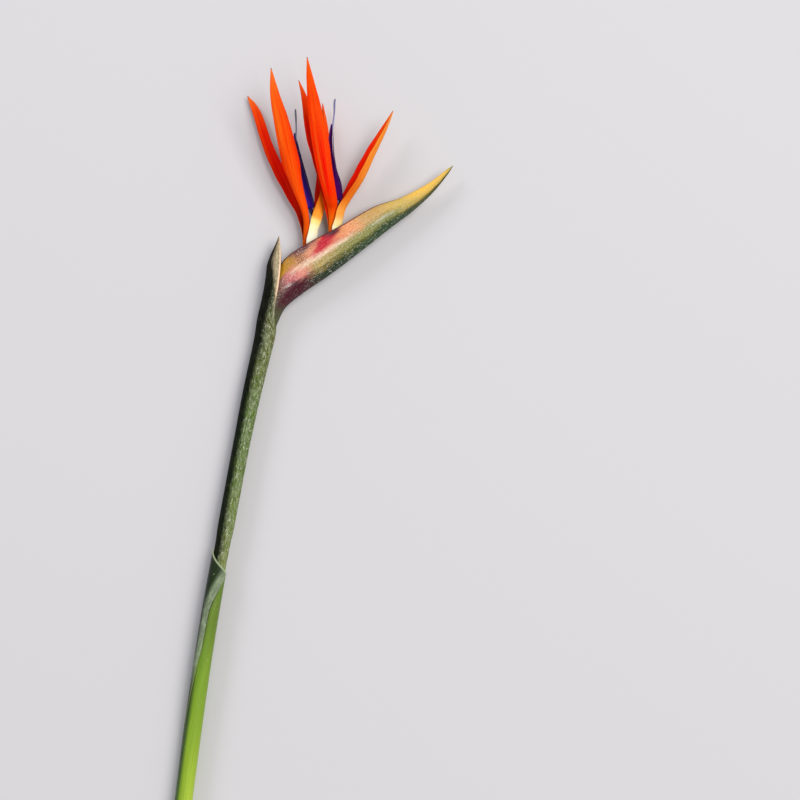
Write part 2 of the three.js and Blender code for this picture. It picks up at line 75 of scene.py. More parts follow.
camera = new_object("camera", bpy.data.cameras.new("camera"))
camera.data.lens = LENS
camera.data.sensor_width = FILM_WIDTH
camera.location = metres(VIEW_CENTRE + [0, 0, CAMERA_HEIGHT])
bpy.context.scene.camera = camera
print("camera height in m:", round(camera.location.z, 3))

# %% [markdown]
# ## Table and light
# Deep orange and violet show best in soft, even light, as from the windows of a pale room. One large
# window of light stands to the right of the flower, a weaker one fills from the left, and a bright
# room lightens every shadow. A sky picture could do the same, but two windows are easier to place.
# The standard view transform is used because it keeps the strong petal colours as they are mixed.

# %% Lay the table and hang the lights
TABLE_SIDE = 12.0
ROOM_LIGHT = 0.45
HEAD = [20, 60, 10]


def srgb(code):
    """A colour written as on a paint card, as the light values that Blender mixes."""
    parts = [int(code[i : i + 2], 16) / 255 for i in (1, 3, 5)]
    return tuple(c / 12.92 if c <= 0.04045 else ((c + 0.055) / 1.055) ** 2.4 for c in parts) + (1.0,)


def window(name, place, side, watts, colour):
    """A square window of light at a place in metres, turned to the flower's head."""
    light = bpy.data.lights.new(name, "AREA")
    light.size = side
    light.energy = watts
    light.color = srgb(colour)[:3]
    lamp = new_object(name, light)
    lamp.location = place
    aim = Vector(metres(HEAD)) - Vector(place)
    lamp.rotation_euler = aim.to_track_quat("-Z", "Y").to_euler()


window("light_right", place=(2.7, 1.6, 4.7), side=3.8, watts=290, colour="#fffbf6")
window("light_left", place=(-3.4, 3.6, 3.0), side=1.8, watts=105, colour="#f8f8ff")
room = bpy.data.worlds.new("room")
room.use_nodes = True
sky = room.node_tree.nodes["Background"].inputs
sky["Color"].default_value = srgb("#f2f4f8")
sky["Strength"].default_value = ROOM_LIGHT
bpy.context.scene.world = room
bpy.context.scene.view_settings.view_transform = "Standard"

bpy.ops.mesh.primitive_plane_add(size=TABLE_SIDE)
table = bpy.context.object
table.name = "table"
paint = bpy.data.materials.new("pale_table")
paint.use_nodes = True
coat = paint.node_tree.nodes["Principled BSDF"].inputs
coat["Base Color"].default_value = srgb("#cac9cc")
coat["Roughness"].default_value = 0.9
table.data.materials.append(paint)

# %% [markdown]
# ## Smooth lines and sizes that change along them
# Stems, sepals and petals all follow a gently bent line, and their width, fold and colour change
# along it. Three helpers say that once: a line through a few places, a value that changes from
# place to place, and a direction that turns. Blender's curves could hold the lines, but with arrays
# the width, the fold and the colour of a piece can all be read at the same places.

# %% Lines, profiles and turning directions
def unit(v):
    return v / np.linalg.norm(v, axis=-1, keepdims=True)


def between(t, start, end, leave, reach):
    """A smooth way from start to end whose slopes there are leave and reach."""
    ends = start * (1 + 2 * t) * (1 - t) ** 2 + end * t**2 * (3 - 2 * t)
    return ends + leave * t * (1 - t) ** 2 - reach * t**2 * (1 - t)


def by_column(at, known, table):
    return np.stack([np.interp(at, known, column) for column in table.T], axis=-1)


class Line:
    """A smooth line through a few places, read by its length from 0 to 1."""

    SAMPLES = 60

    def __init__(self, *places):
        p = np.array(places, float)
        p = np.vstack([2 * p[0] - p[1], p, 2 * p[-1] - p[-2]])
        t = np.linspace(0, 1, self.SAMPLES, endpoint=False)[:, None]
        parts = []
        for a, b, c, d in zip(p, p[1:], p[2:], p[3:]):
            before, step, after = (np.sqrt(np.linalg.norm(v)) for v in (b - a, c - b, d - c))
            leave = ((b - a) / before - (c - a) / (before + step) + (c - b) / step) * step
            reach = ((c - b) / step - (d - b) / (step + after) + (d - c) / after) * step
            parts.append(between(t, b, c, leave, reach))
        self.take(np.vstack(parts + [p[-2]]))

    def take(self, points):
        """Follow these points, which lie close together."""
        self.points = points
        steps = np.linalg.norm(np.diff(points, axis=0), axis=1)
        self.length = steps.sum()
        self.place = np.concatenate([[0], np.cumsum(steps)]) / self.length
        self.ways = np.gradient(points, self.place, axis=0)

    def joined(self, other):
        """This line with another one after it."""
        whole = Line(self.points[0], self.points[-1])
        whole.take(np.vstack([self.points[:-1], other.points]))
        return whole

    def at(self, s):
        return by_column(s, self.place, self.points)

    def tangent(self, s):
        return unit(by_column(s, self.place, self.ways))

    def by_span(self, t):
        """The place where each stretch between two given places counts alike."""
        last = len(self.points) - 1
        return by_column(np.asarray(t) * last, np.arange(last + 1), self.points)


def profile(*knots):
    """A value along a piece, from knots (place from 0 to 1, value), joined without overshoot."""
    at, value = np.array(knots, float).T
    slope = np.diff(value) / np.diff(at)
    tangent = np.concatenate([slope[:1], np.zeros(len(at) - 2), slope[-1:]])
    for i, (before, after) in enumerate(zip(slope, slope[1:]), start=1):
        if before * after > 0:
            tangent[i] = 2 * before * after / (before + after)

    def along(s):
        s = np.clip(np.asarray(s, float), at[0], at[-1])
        i = np.clip(np.searchsorted(at, s, side="right") - 1, 0, len(at) - 2)
        span = at[i + 1] - at[i]
        leave, reach = span * tangent[i], span * tangent[i + 1]
        return between((s - at[i]) / span, value[i], value[i + 1], leave, reach)

    return along


def turning(*knots):
    """A direction that turns along a piece, from knots (place from 0 to 1, direction)."""
    parts = [profile(*[(at, way[k]) for at, way in knots]) for k in range(3)]
    return lambda s: unit(np.stack([part(s) for part in parts], axis=-1))


print("a quarter along a test line:", Line((0, 0, 0), (0, 10, 0), (0, 20, 0)).at(0.25))

# %% [markdown]
# ## From rows of points to a thin body
# A petal or a sheath is two faces a little apart, joined round their edge. A Solidify modifier could
# add the second face, but a real petal is thick at its midrib and thin at its margins, so both faces
# are made here as rows of points. That also keeps two numbers at every point that the finishes read
# later: how far along the piece it lies and how far across. A third one marks the inner face.

# %% Build a thin closed body
SHARP_FROM = math.radians(55)


def grid_faces(rows, columns, first=0):
    corner = first + np.arange((rows - 1) * columns).reshape(rows - 1, columns)[:, :-1].ravel()
    return np.stack([corner, corner + 1, corner + columns + 1, corner + columns], axis=1)


def thin_body(name, outer, inner, places):
    """A closed object from two grids of points; places are numbers at each point for its finish."""
    rows, columns = outer.shape[:2]
    points = metres(np.concatenate([outer.reshape(-1, 3), inner.reshape(-1, 3)]))
    count = rows * columns
    index = np.arange(count).reshape(rows, columns)
    loop = np.concatenate([index[0, :-1], index[:-1, -1], index[-1, :0:-1], index[:0:-1, 0]])
    after = np.roll(loop, -1)
    edge = np.stack([after, loop, loop + count, after + count], axis=1)
    faces = np.concatenate([grid_faces(rows, columns), grid_faces(rows, columns, count)[:, ::-1], edge])
    a, b, c, d = (points[faces[:, k]] for k in range(4))
    volume = (a * (np.cross(b, c) + np.cross(c, d))).sum()
    if volume < 0:
        faces = faces[:, ::-1]
    mesh = bpy.data.meshes.new(name)
    mesh.from_pydata(points.tolist(), [], faces.tolist())
    mesh.polygons.foreach_set("use_smooth", [True] * len(faces))
    mesh.set_sharp_from_angle(angle=SHARP_FROM)
    numbers = {label: np.tile(values.ravel(), 2) for label, values in places.items()}
    numbers["inside"] = np.repeat([0.0, 1.0], count)
    for label, values in numbers.items():
        layer = mesh.attributes.new(label, "FLOAT", "POINT")
        layer.data.foreach_set("value", values.astype(np.float32))
    return new_object(name, mesh)


print("faces of a grid of 3 by 4 points:", len(grid_faces(3, 4)))

# %% [markdown]
# ## Writing node trees in a few words
# Both kinds of Blender node tree are used below. What a node gives out at each place is called a
# reading here, and readings are added and multiplied with plain signs. The helpers put a node down,
# feed its sockets by name and hand its readings back, so that a tree reads like a short recipe.

# %% Node helpers
SHAPE = "NodeSocketGeometry"
FINISH = "NodeSocketMaterial"
VECTOR = "NodeSocketVector"


class Reading:
    """What a node gives out at each place. Readings are added and multiplied like plain numbers."""

    def __init__(self, socket):
        self.socket = socket
        self.tree = socket.id_data

    def __add__(self, other):
        return calc("ADD", self, other)

    def __sub__(self, other):
        return calc("SUBTRACT", self, other)

    def __rsub__(self, other):
        return calc("SUBTRACT", other, self)

    def __mul__(self, other):
        return calc("MULTIPLY", self, other)

    def __truediv__(self, other):
        return calc("DIVIDE", self, other)

    def __abs__(self):
        return calc("ABSOLUTE", self)

    def grade(self, low, high, to_low=0.0, to_high=1.0):
        """A soft step from to_low to to_high while the reading goes from low to high."""
        feeds = {"Value": self, "From Min": low, "From Max": high, "To Min": to_low, "To Max": to_high}
        return put(self.tree, "ShaderNodeMapRange", feeds, interpolation_type="SMOOTHSTEP")["Result"]

    def mixed(self, share, other, blend="MIX"):
        """This colour with a share of another one over it."""
        return mix(share, self, other, blend)

    def ramp(self, *stops):
        """Colours along the reading, from stops (place, paint card colour)."""
        made = put(self.tree, "ShaderNodeValToRGB", {"Fac": self})
        made.node.color_ramp.interpolation = "EASE"
        ladder = made.node.color_ramp.elements
        while len(ladder) < len(stops):
            ladder.new(0.5)
        for rung, (place, colour) in zip(ladder, stops):
            rung.position = place
            rung.color = srgb(colour)
        return made["Color"]

    def noise(self, scale, detail=2.0, roughness=0.5):
        feeds = {"Vector": self, "Scale": scale, "Detail": detail, "Roughness": roughness}
        return put(self.tree, "ShaderNodeTexNoise", feeds)["Fac"]


class Placed:
    """A node in a tree, whose outputs are readings."""

    def __init__(self, node):
        self.node = node

    def __getitem__(self, output):
        return Reading(self.node.outputs[output])


def put(tree, kind, feeds=None, **settings):
    """Puts a node into a tree. A feed is a plain value or a reading."""
    made = tree.nodes.new(kind)
    for name, value in settings.items():
        setattr(made, name, value)
    for key, value in (feeds or {}).items():
        if isinstance(value, Reading):
            tree.links.new(value.socket, made.inputs[key])
        else:
            made.inputs[key].default_value = value
    return Placed(made)


def calc(operation, *values):
    """A sum on readings and numbers, with at least one reading among them."""
    tree = next(value.tree for value in values if isinstance(value, Reading))
    return put(tree, "ShaderNodeMath", dict(enumerate(values)), operation=operation)[0]


def mix(share, first, second, blend="MIX"):
    """Two colours mixed, each a reading or a paint card's code; share says how much of the second."""
    first, second = (srgb(c) if isinstance(c, str) else c for c in (first, second))
    feeds = {0: share, 6: first, 7: second}
    return put(share.tree, "ShaderNodeMix", feeds, data_type="RGBA", blend_type=blend)[2]


def vector(x, y, z=0.0):
    """A vector whose x is a reading, the others readings or numbers."""
    return put(x.tree, "ShaderNodeCombineXYZ", {"X": x, "Y": y, "Z": z})[0]


def feed(sockets, **readings):
    """Links readings to sockets: Base_Color stands for Base Color."""
    for label, value in readings.items():
        value.tree.links.new(value.socket, sockets[label.replace("_", " ")])


def titled(feeds):
    """Feeds under the names of sockets: rib_count stands for Rib Count."""
    return {label.replace("_", " ").title(): value for label, value in feeds.items()}


def group_tree(name, kind, gives, **takes):
    """An empty node group. An input has a first number or is of another kind of socket."""
    tree = bpy.data.node_groups.new(name, kind)
    for label, first in titled(takes).items():
        number = "NodeSocketInt" if isinstance(first, int) else "NodeSocketFloat"
        socket = first if isinstance(first, str) else number
        made = tree.interface.new_socket(label, in_out="INPUT", socket_type=socket)
        if socket == number:
            made.default_value = first
    for label in gives:
        socket = SHAPE if label == "Geometry" else "NodeSocketFloat"
        tree.interface.new_socket(label, in_out="OUTPUT", socket_type=socket)
    given = Placed(tree.nodes.new("NodeGroupInput"))
    return tree, given, tree.nodes.new("NodeGroupOutput").inputs


print("helpers ready; white card is", srgb("#ffffff"))

# %% [markdown]
# ## Ribs that run the length of a piece
# Sepals, sheaths and the spathe are all ribbed lengthwise, because their veins run side by side. A
# bump in the finish could draw the ribs, but a raised rib also catches light and shadow at the margin.
# Geometry Nodes raise them on any of the thin bodies, since each carries its place across. Both faces
# move the same way, so that a rib on the back is a furrow inside, and nothing sinks into the table.

# %% The ribbing tree
def give_shape(shape, given, result):
    """Makes a shape real, puts the finish on it and lets the tree give it out."""
    real = put(shape.tree, "GeometryNodeRealizeInstances", {"Geometry": shape})[0]
    feeds = {"Geometry": real, "Material": given["Finish"]}
    feed(result, Geometry=put(shape.tree, "GeometryNodeSetMaterial", feeds)[0])


def ribbing_tree():
    tree, given, result = group_tree(
        "lengthwise ribs", "GeometryNodeTree", ["Geometry"], geometry=SHAPE, rib_count=12.0,
        rib_depth=0.0001, unevenness=1.0, seed=1.0, finish=FINISH
    )
    along, across, inside = (
        put(tree, "GeometryNodeInputNamedAttribute", {"Name": name})["Attribute"]
        for name in ("along", "across", "inside")
    )
    place = vector(across * 4.0, along * 1.6, given["Seed"])
    wander = (place.noise(1.0) - 0.5) * given["Unevenness"]
    wave = calc("SINE", (across * given["Rib Count"] + wander) * (2 * math.pi))
    ends = along.grade(0.0, 0.05) * along.grade(0.9, 1.0, 1.0, 0.0)
    side = 1.0 - inside * 2.0
    height = (wave * ends) * (side * given["Rib Depth"])
    normal = put(tree, "GeometryNodeInputNormal")[0]
    start = put(tree, "GeometryNodeInputPosition")[0]
    lift = put(tree, "ShaderNodeVectorMath", {0: normal, "Scale": height}, operation="SCALE")[0]
    raised = put(tree, "ShaderNodeVectorMath", {0: start, 1: lift}, operation="ADD")[0]
    apart = put(tree, "ShaderNodeSeparateXYZ", {"Vector": raised})
    on_table = vector(apart["X"], apart["Y"], calc("MAXIMUM", apart["Z"], 0.0))
    feeds = {"Geometry": given["Geometry"], "Position": on_table}
    give_shape(put(tree, "GeometryNodeSetPosition", feeds)[0], given, result)
    return tree


RIBBING = ribbing_tree()
print("ribbing nodes:", len(RIBBING.nodes))

# %% [markdown]
# ## Turning a recipe into a plain mesh
# A modifier could stay live on each piece, but plain meshes are safer to hand on. So each piece runs
# through its tree once, keeps the result and drops the modifier. Then it is tied to the body that it
# is part of and takes the place of its solid. The helpers for finishes stand here too: a new material,
# the numbers and places that it reads, and a bump.

# %% Apply a tree and settle a piece
def grown(made, tree, **sizes):
    """Runs an object through a geometry tree and returns it as a plain mesh with the same name."""
    modifier = made.modifiers.new(tree.name, "NODES")
    modifier.node_group = tree
    sizes = titled(sizes)
    for socket in tree.interface.items_tree:
        if socket.in_out == "INPUT" and socket.name in sizes:
            modifier[socket.identifier] = sizes[socket.name]
    depsgraph = bpy.context.evaluated_depsgraph_get()
    mesh = bpy.data.meshes.new_from_object(
        made.evaluated_get(depsgraph), preserve_all_data_layers=True, depsgraph=depsgraph
    )
    name = made.name
    bpy.data.objects.remove(made)
    mesh.name = name
    return new_object(name, mesh)


def settle(piece, solid):
    """The piece moves with the flower and stands for its solid."""
    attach(piece, "root")
    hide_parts(solid)
    print(piece.name, "faces:", len(piece.data.polygons), "finish:", piece.data.materials[0].name)


def dress(name, slot, grids, finish, **ribs):
    """Two grids of points become a ribbed piece in the place of the solid of this name."""
    piece = grown(thin_body(name + "_skin", *grids), RIBBING, finish=finish, **ribs)
    settle(piece, name)


def new_finish(name, roughness=0.5, **plain):
    """A material, its tree and its shader's sockets, where plain values are set."""
    made = bpy.data.materials.new(name)
    made.use_nodes = True
    skin = made.node_tree.nodes["Principled BSDF"].inputs
    skin["Roughness"].default_value = roughness
    for label, value in plain.items():
        skin[label.replace("_", " ")].default_value = value
    return made, made.node_tree, skin


def marks(tree, *labels):
    """The numbers that a piece carries at its points."""
    return [put(tree, "ShaderNodeAttribute", attribute_name=label)["Fac"] for label in labels]


def object_place(tree):
    """Where each point of a piece lies, in metres."""
    return put(tree, "ShaderNodeTexCoord")["Object"]


def bump(height, strength, distance):
    """The normal that a height gives; a height of 1 stands out by the distance, in metres."""
    feeds = {"Height": height, "Strength": strength, "Distance": distance}
    return put(height.tree, "ShaderNodeBump", feeds)["Normal"]


print("finishes so far:", len(bpy.data.materials))

# %% [markdown]
# ## Effects that several finishes share
# Three things are seen all over the flower. Fine veins run lengthwise, a pale wax lies in films and
# flecks on everything green, and one colour runs into the next in soft ragged patches. They could be
# painted on each piece, but as noise in a node group each is built once, placed with its own values
# and never repeats.

# %% Veins, wax and patches
def veins_group():
    tree, given, result = group_tree(
        "veins", "ShaderNodeTree", ["Streak", "Line"],
        along=0.0, across=0.0, count=20.0, length=1.5, seed=0.0
    )
    across = given["Across"] * given["Count"]
    along = given["Along"] * given["Length"]
    streak = vector(across, along, given["Seed"]).noise(1.0, 3.0, 0.6)
    fine = vector(across * 2.7, along, given["Seed"]).noise(1.0)
    feed(result, Streak=streak.grade(0.34, 0.66), Line=fine.grade(0.52, 0.66))
    return tree


def wax_group():
    tree, given, result = group_tree(
        "wax", "ShaderNodeTree", ["Film", "Flecks"],
        vector=VECTOR, film_size=60.0, film_cover=0.5, fleck_size=900.0, fleck_cover=0.5
    )
    place = given["Vector"]
    broad = place.noise(given["Film Size"], 5.0, 0.65)
    film = broad - (0.78 - given["Film Cover"] * 0.5)
    grain = place.noise(given["Fleck Size"], 2.0, 0.6)
    clump = place.noise(given["Film Size"] * 2.3)
    flecks = (grain + clump * 0.9) - (1.34 - given["Fleck Cover"] * 0.4)
    feed(result, Film=film.grade(-0.1, 0.12), Flecks=flecks.grade(0.0, 0.07))
    return tree


def patch_group():
    tree, given, result = group_tree(
        "patch", "ShaderNodeTree", ["Mask"],
        along=0.0, across=0.0, centre_along=0.5, centre_across=0.5, half_length=0.1, half_width=0.1,
        slant=0.0, softness=0.4, ragged=0.3, seed=0.0
    )
    off_across = given["Across"] - given["Centre Across"]
    off_along = (given["Along"] - given["Centre Along"]) - off_across * given["Slant"]
    x = off_along / given["Half Length"]
    y = off_across / given["Half Width"]
    away = calc("SQRT", x * x + y * y)
    place = vector(given["Along"] * 34.0, given["Across"] * 12.0, given["Seed"])
    ragged = place.noise(1.0, 4.0, 0.65) - 0.5
    edge = away + ragged * (given["Ragged"] * 5.0)
    feed(result, Mask=edge.grade(1.0 - given["Softness"], given["Softness"] + 1.0, 1.0, 0.0))
    return tree


VEINS, WAX, PATCH = veins_group(), wax_group(), patch_group()


def use(group, place, **feeds):
    """Puts a group into the tree where the reading of a place comes from."""
    return put(place.tree, "ShaderNodeGroup", titled(feeds), node_tree=group)


def veins(along, across, count, length, seed):
    """Veins that run lengthwise: broad soft streaks and fine lines."""
    return use(VEINS, along, along=along, across=across, count=count, length=length, seed=seed)


def waxed(place, film, flecks):
    """Wax with a film and flecks, each (size, cover)."""
    sizes = dict(film_size=film[0], film_cover=film[1], fleck_size=flecks[0], fleck_cover=flecks[1])
    return use(WAX, place, vector=place, **sizes)


def patch(along, across, centre, halves, **shape):
    """Where a soft ragged patch lies, from 0 to 1."""
    shape |= dict(centre_along=centre[0], centre_across=centre[1])
    shape |= dict(half_length=halves[0], half_width=halves[1])
    return use(PATCH, along, along=along, across=across, **shape)["Mask"]


print("shared effects:", VEINS.name, WAX.name, PATCH.name)

# %% [markdown]
# ## Blades: sepals, petals and their kin
# A sepal is a long blade folded along its midrib. The over and under sepals are shallow troughs, the
# keel sepals are folded so far that their two flanks nearly close. They could be sculpted one by one,
# but all follow one rule: a line, a width, a fold and thin margins. So one function lofts them all,
# and each matches its solid exactly.

# %% Loft a blade
SUB_STEPS = 8
RIPPLES = 7
RIPPLE_LAG = 0.35
MIDRIB_HALF = 0.07


def blade(
    path, facing, width, bend, roundness, thickness, edge, places, half, sweep=None, rib=0.0, wave=0.0
):
    """Two grids of points of a folded blade, and where each point lies along and across it."""
    s = np.asarray(places)
    along = path.tangent(s)
    hollow = facing(s)
    hollow = unit(hollow - (hollow * along).sum(-1, keepdims=True) * along)
    sideways = np.cross(hollow, along)
    count = half * SUB_STEPS
    turn = np.radians(bend(s))[:, None]
    step = (width(s) / 2 / count)[:, None]
    lean = turn * ((np.arange(count) + 0.5) / count) ** roundness
    start = np.zeros((len(s), 1))
    out = np.hstack([start, np.cumsum(step * np.cos(lean), axis=1)])[:, ::SUB_STEPS]
    up = np.hstack([start, np.cumsum(step * np.sin(lean), axis=1)])[:, ::SUB_STEPS]
    column = np.arange(-half, half + 1)
    side = np.sign(column)
    u = np.linspace(0, 1, half + 1)[abs(column)]
    out, up = out[:, abs(column)], up[:, abs(column)]
    lean = turn * u**roundness
    s = s[:, None]
    ripple = wave * np.sin(2 * np.pi * (RIPPLES * s + RIPPLE_LAG * side)) * np.sin(np.pi * s) * u**3
    back = sweep(s) * u if sweep else np.zeros_like(out)
    middle = path.at(s[:, 0])[:, None, :] + (side * out)[..., None] * sideways[:, None, :]
    middle += (up + ripple)[..., None] * hollow[:, None, :] - back[..., None] * along[:, None, :]
    normal = np.cos(lean)[..., None] * hollow[:, None, :]
    normal = normal - (side * np.sin(lean))[..., None] * sideways[:, None, :]
    depth = np.minimum(thickness + (edge - thickness) * u**2, 0.8 * width(s)) / 2
    ridge = rib * np.exp(-((u / MIDRIB_HALF) ** 2)) * np.sin(np.pi * np.clip(s, 0, 1))
    outer = middle - (depth + ridge)[..., None] * normal
    inner = middle + depth[..., None] * normal
    return outer, inner, dict(along=s + 0 * out, across=side * u + 0 * out)


print("columns of a blade with half 12:", 2 * 12 + 1)

# %% [markdown]
# ## The finish of a sepal
# An orange sepal is cream at its claw, where the spathe kept the light from it, and deepens through
# yellow and orange to red where it is thickest. Its hollow face is redder than its back. One noise
# could blend such colours, but on the flower they follow the sepal's length, so they are stops along
# it. The shared veins streak them, a darker midrib and brim frame them, and a little light passes
# through the thin flesh. It has no hard gloss.

# %% Sepal finish
VEIN_DARKER = "#d01000"
VEIN_LIGHTER = "#ff8a20"


def sepal_finish(name, back, hollow, flush=(), seed=0.0):
    """back and hollow are stops along the sepal; flush has patches (tint, centre, halves, strength)."""
    made, tree, skin = new_finish(
        name, 0.45, Specular_IOR_Level=0.03, Subsurface_Weight=0.3, Subsurface_Radius=(1.0, 0.5, 0.25),
        Subsurface_Scale=0.0016
    )
    along, across, inside = marks(tree, "along", "across", "inside")
    colour = along.ramp(*back).mixed(inside.grade(0.3, 0.7), along.ramp(*hollow))
    for number, (tint, centre, halves, strength) in enumerate(flush):
        mask = patch(along, across, centre, halves, softness=0.7, ragged=0.1, seed=seed + number)
        colour = colour.mixed(mask * strength, tint)
    vein = veins(along, across, count=14.0, length=1.8, seed=seed)
    ripe = along.grade(0.2, 0.36)
    colour = colour.mixed(vein["Streak"] * 0.6 * ripe, VEIN_DARKER, "MULTIPLY")
    colour = colour.mixed(vein["Line"] * (ripe * inside.grade(0.3, 0.7, 0.5, 0.15)), VEIN_LIGHTER)
    off_fold = abs(across)
    colour = colour.mixed(off_fold.grade(0.01, 0.07, 0.35, 0.0) * ripe, "#d01800", "MULTIPLY")
    colour = colour.mixed(off_fold.grade(0.9, 1.0, 0.0, 0.5) * ripe, "#b01c00")
    height = vein["Streak"] + vein["Line"] * 0.5
    gloss = vein["Streak"].grade(0.0, 1.0, 0.4, 0.55)
    feed(skin, Base_Color=colour, Roughness=gloss, Normal=bump(height, 0.3, 0.0003))
    return made


print("vein colours:", VEIN_DARKER, VEIN_LIGHTER)

# %% [markdown]
# ## The six sepals
# Two florets are open and each shows three sepals. The list below holds, for each, the line of its
# midrib, where its hollow side faces, its width and the turn of its margins; what two of them share
# stands above it. The back of a sepal has a raised midrib and its margins are thin and slightly wavy.

# %% Shapes of the sepals
SEPAL_THICKNESS = 0.9
SEPAL_EDGE = 0.32
SEPAL_ROWS = 110
SEPAL_HALF = 14
SEPAL_MIDRIB = 0.25
SEPAL_WAVE = 0.25
KEEL_WAVE = 0.12
OVER = dict(facing=[(0, (0, 0, -1)), (1, (-0.25, 0, -1))], bend=[(0, 25), (0.5, 34), (1, 20)])
KEEL = dict(bend=[(0, 70), (0.5, 74), (1, 60)], roundness=0.3)

SEPALS = {
    "floret_1_sepal_under": dict(
        path=Line(
            (16, 37.6, 7), (16.9, 44.3, 6.8), (13.5, 62, 5.4), (8.8, 71.8, 5), (-5.8, 103.3, 4),
            (-14.5, 129.3, 3), (-20, 139.6, 2.6)
        ),
        facing=[(0, (0.8, 0, 0.6)), (1, (0.1, 0, 1))],
        width=[(0, 3), (0.15, 4), (0.3, 6.5), (0.5, 9.2), (0.68, 7.4), (0.85, 6.3), (0.94, 4), (1, 0.4)],
        bend=[(0, 30), (0.5, 38), (1, 20)],
    ),
    "floret_1_sepal_over": dict(
        path=Line(
            (17, 37.2, 10.2), (18, 44.1, 10.4), (18.4, 51, 11), (18.6, 58, 13.8), (17.2, 66, 16.6),
            (12.3, 81.8, 20), (3, 121.7, 28), (-0.9, 137.4, 30.5), (-3.6, 154.8, 32)
        ),
        width=[
            (0, 3), (0.18, 4), (0.28, 5.8), (0.39, 9), (0.5, 12.4), (0.66, 11.2), (0.86, 6.4), (1, 0.4)
        ],
        **OVER,
    ),
    "floret_1_sepal_keel": dict(
        path=Line(
            (21.4, 36.6, 8.5), (24.6, 45.2, 8.5), (25.7, 52.5, 8.2), (28.3, 60.8, 7.4), (30.8, 72, 6.2),
            (32.4, 90, 5), (32.6, 114, 4.2), (28.8, 134.8, 3.4)
        ),
        facing=[(0, (-1, 0.1, 0)), (0.25, (-1, 0, 0.05)), (0.42, (-1, 0, 0.5)), (1, (-1, 0, 0.5))],
        width=[
            (0, 8), (0.09, 15), (0.16, 13.6), (0.21, 14.6), (0.45, 15.5), (0.65, 13), (0.85, 7), (1, 0.4)
        ],
        **KEEL,
    ),
    "floret_2_sepal_under": dict(
        path=Line(
            (33.2, 46, 7.1), (33.8, 51, 7.1), (33.2, 58, 8), (32.2, 64.9, 10.6), (30.6, 74.6, 14.4),
            (24.2, 106.8, 19), (17.1, 137.9, 20), (13.8, 148.2, 19.6)
        ),
        facing=[(0, (0.7, 0, 0.7)), (1, (0.1, 0, 1))],
        width=[
            (0, 3), (0.15, 4), (0.35, 7), (0.51, 9.6), (0.62, 11.2), (0.7, 10.2), (0.81, 6.6), (1, 0.4)
        ],
        bend=[(0, 30), (0.5, 34), (1, 20)],
    ),
    "floret_2_sepal_over": dict(
        path=Line(
            (34.2, 45.8, 10.2), (34.7, 51.5, 10.2), (35, 57.5, 10.4), (35.4, 63, 11.6),
            (35.3, 66, 12.9), (35.1, 69, 15.4), (34, 75, 19.2), (31.2, 88.6, 23.6), (28.1, 108.8, 28.5),
            (21.8, 146.6, 36.5), (19.8, 161.1, 38.5)
        ),
        width=[
            (0, 3.2), (0.1, 4.2), (0.147, 5.8), (0.21, 8), (0.39, 10.6), (0.55, 12), (0.69, 10),
            (0.88, 4.9), (1, 0.4)
        ],
        **OVER,
    ),
    "floret_2_sepal_keel": dict(
        path=Line(
            (38.4, 45.2, 8.6), (40.8, 53.4, 8.6), (43.2, 65, 9.2), (46.4, 71, 10), (55, 84.3, 11.5),
            (62.4, 100, 13), (70.5, 117.4, 14.5), (74.8, 128.9, 15.5)
        ),
        facing=[
            (0, (-1, 0.2, 0)), (0.2, (-1, 0.2, 0.12)), (0.42, (-0.73, 0.49, 0.47)),
            (1, (-0.73, 0.49, 0.47))
        ],
        width=[
            (0, 8), (0.09, 14), (0.17, 12.4), (0.3, 13), (0.48, 15), (0.66, 12.6), (0.87, 6.6), (1, 0.4)
        ],
        **KEEL,
    ),
}
print("sepals:", len(SEPALS))

# %% [markdown]
# No two sepals have the same colours. The ones below show their red hollow, the ones above show an
# orange back with a redder flush at their margins, and the keel sepals show both. One finish for all
# would be shorter, but the flower would lose its life. So each sepal has its own stops for both faces
# and soft patches where it flushes.

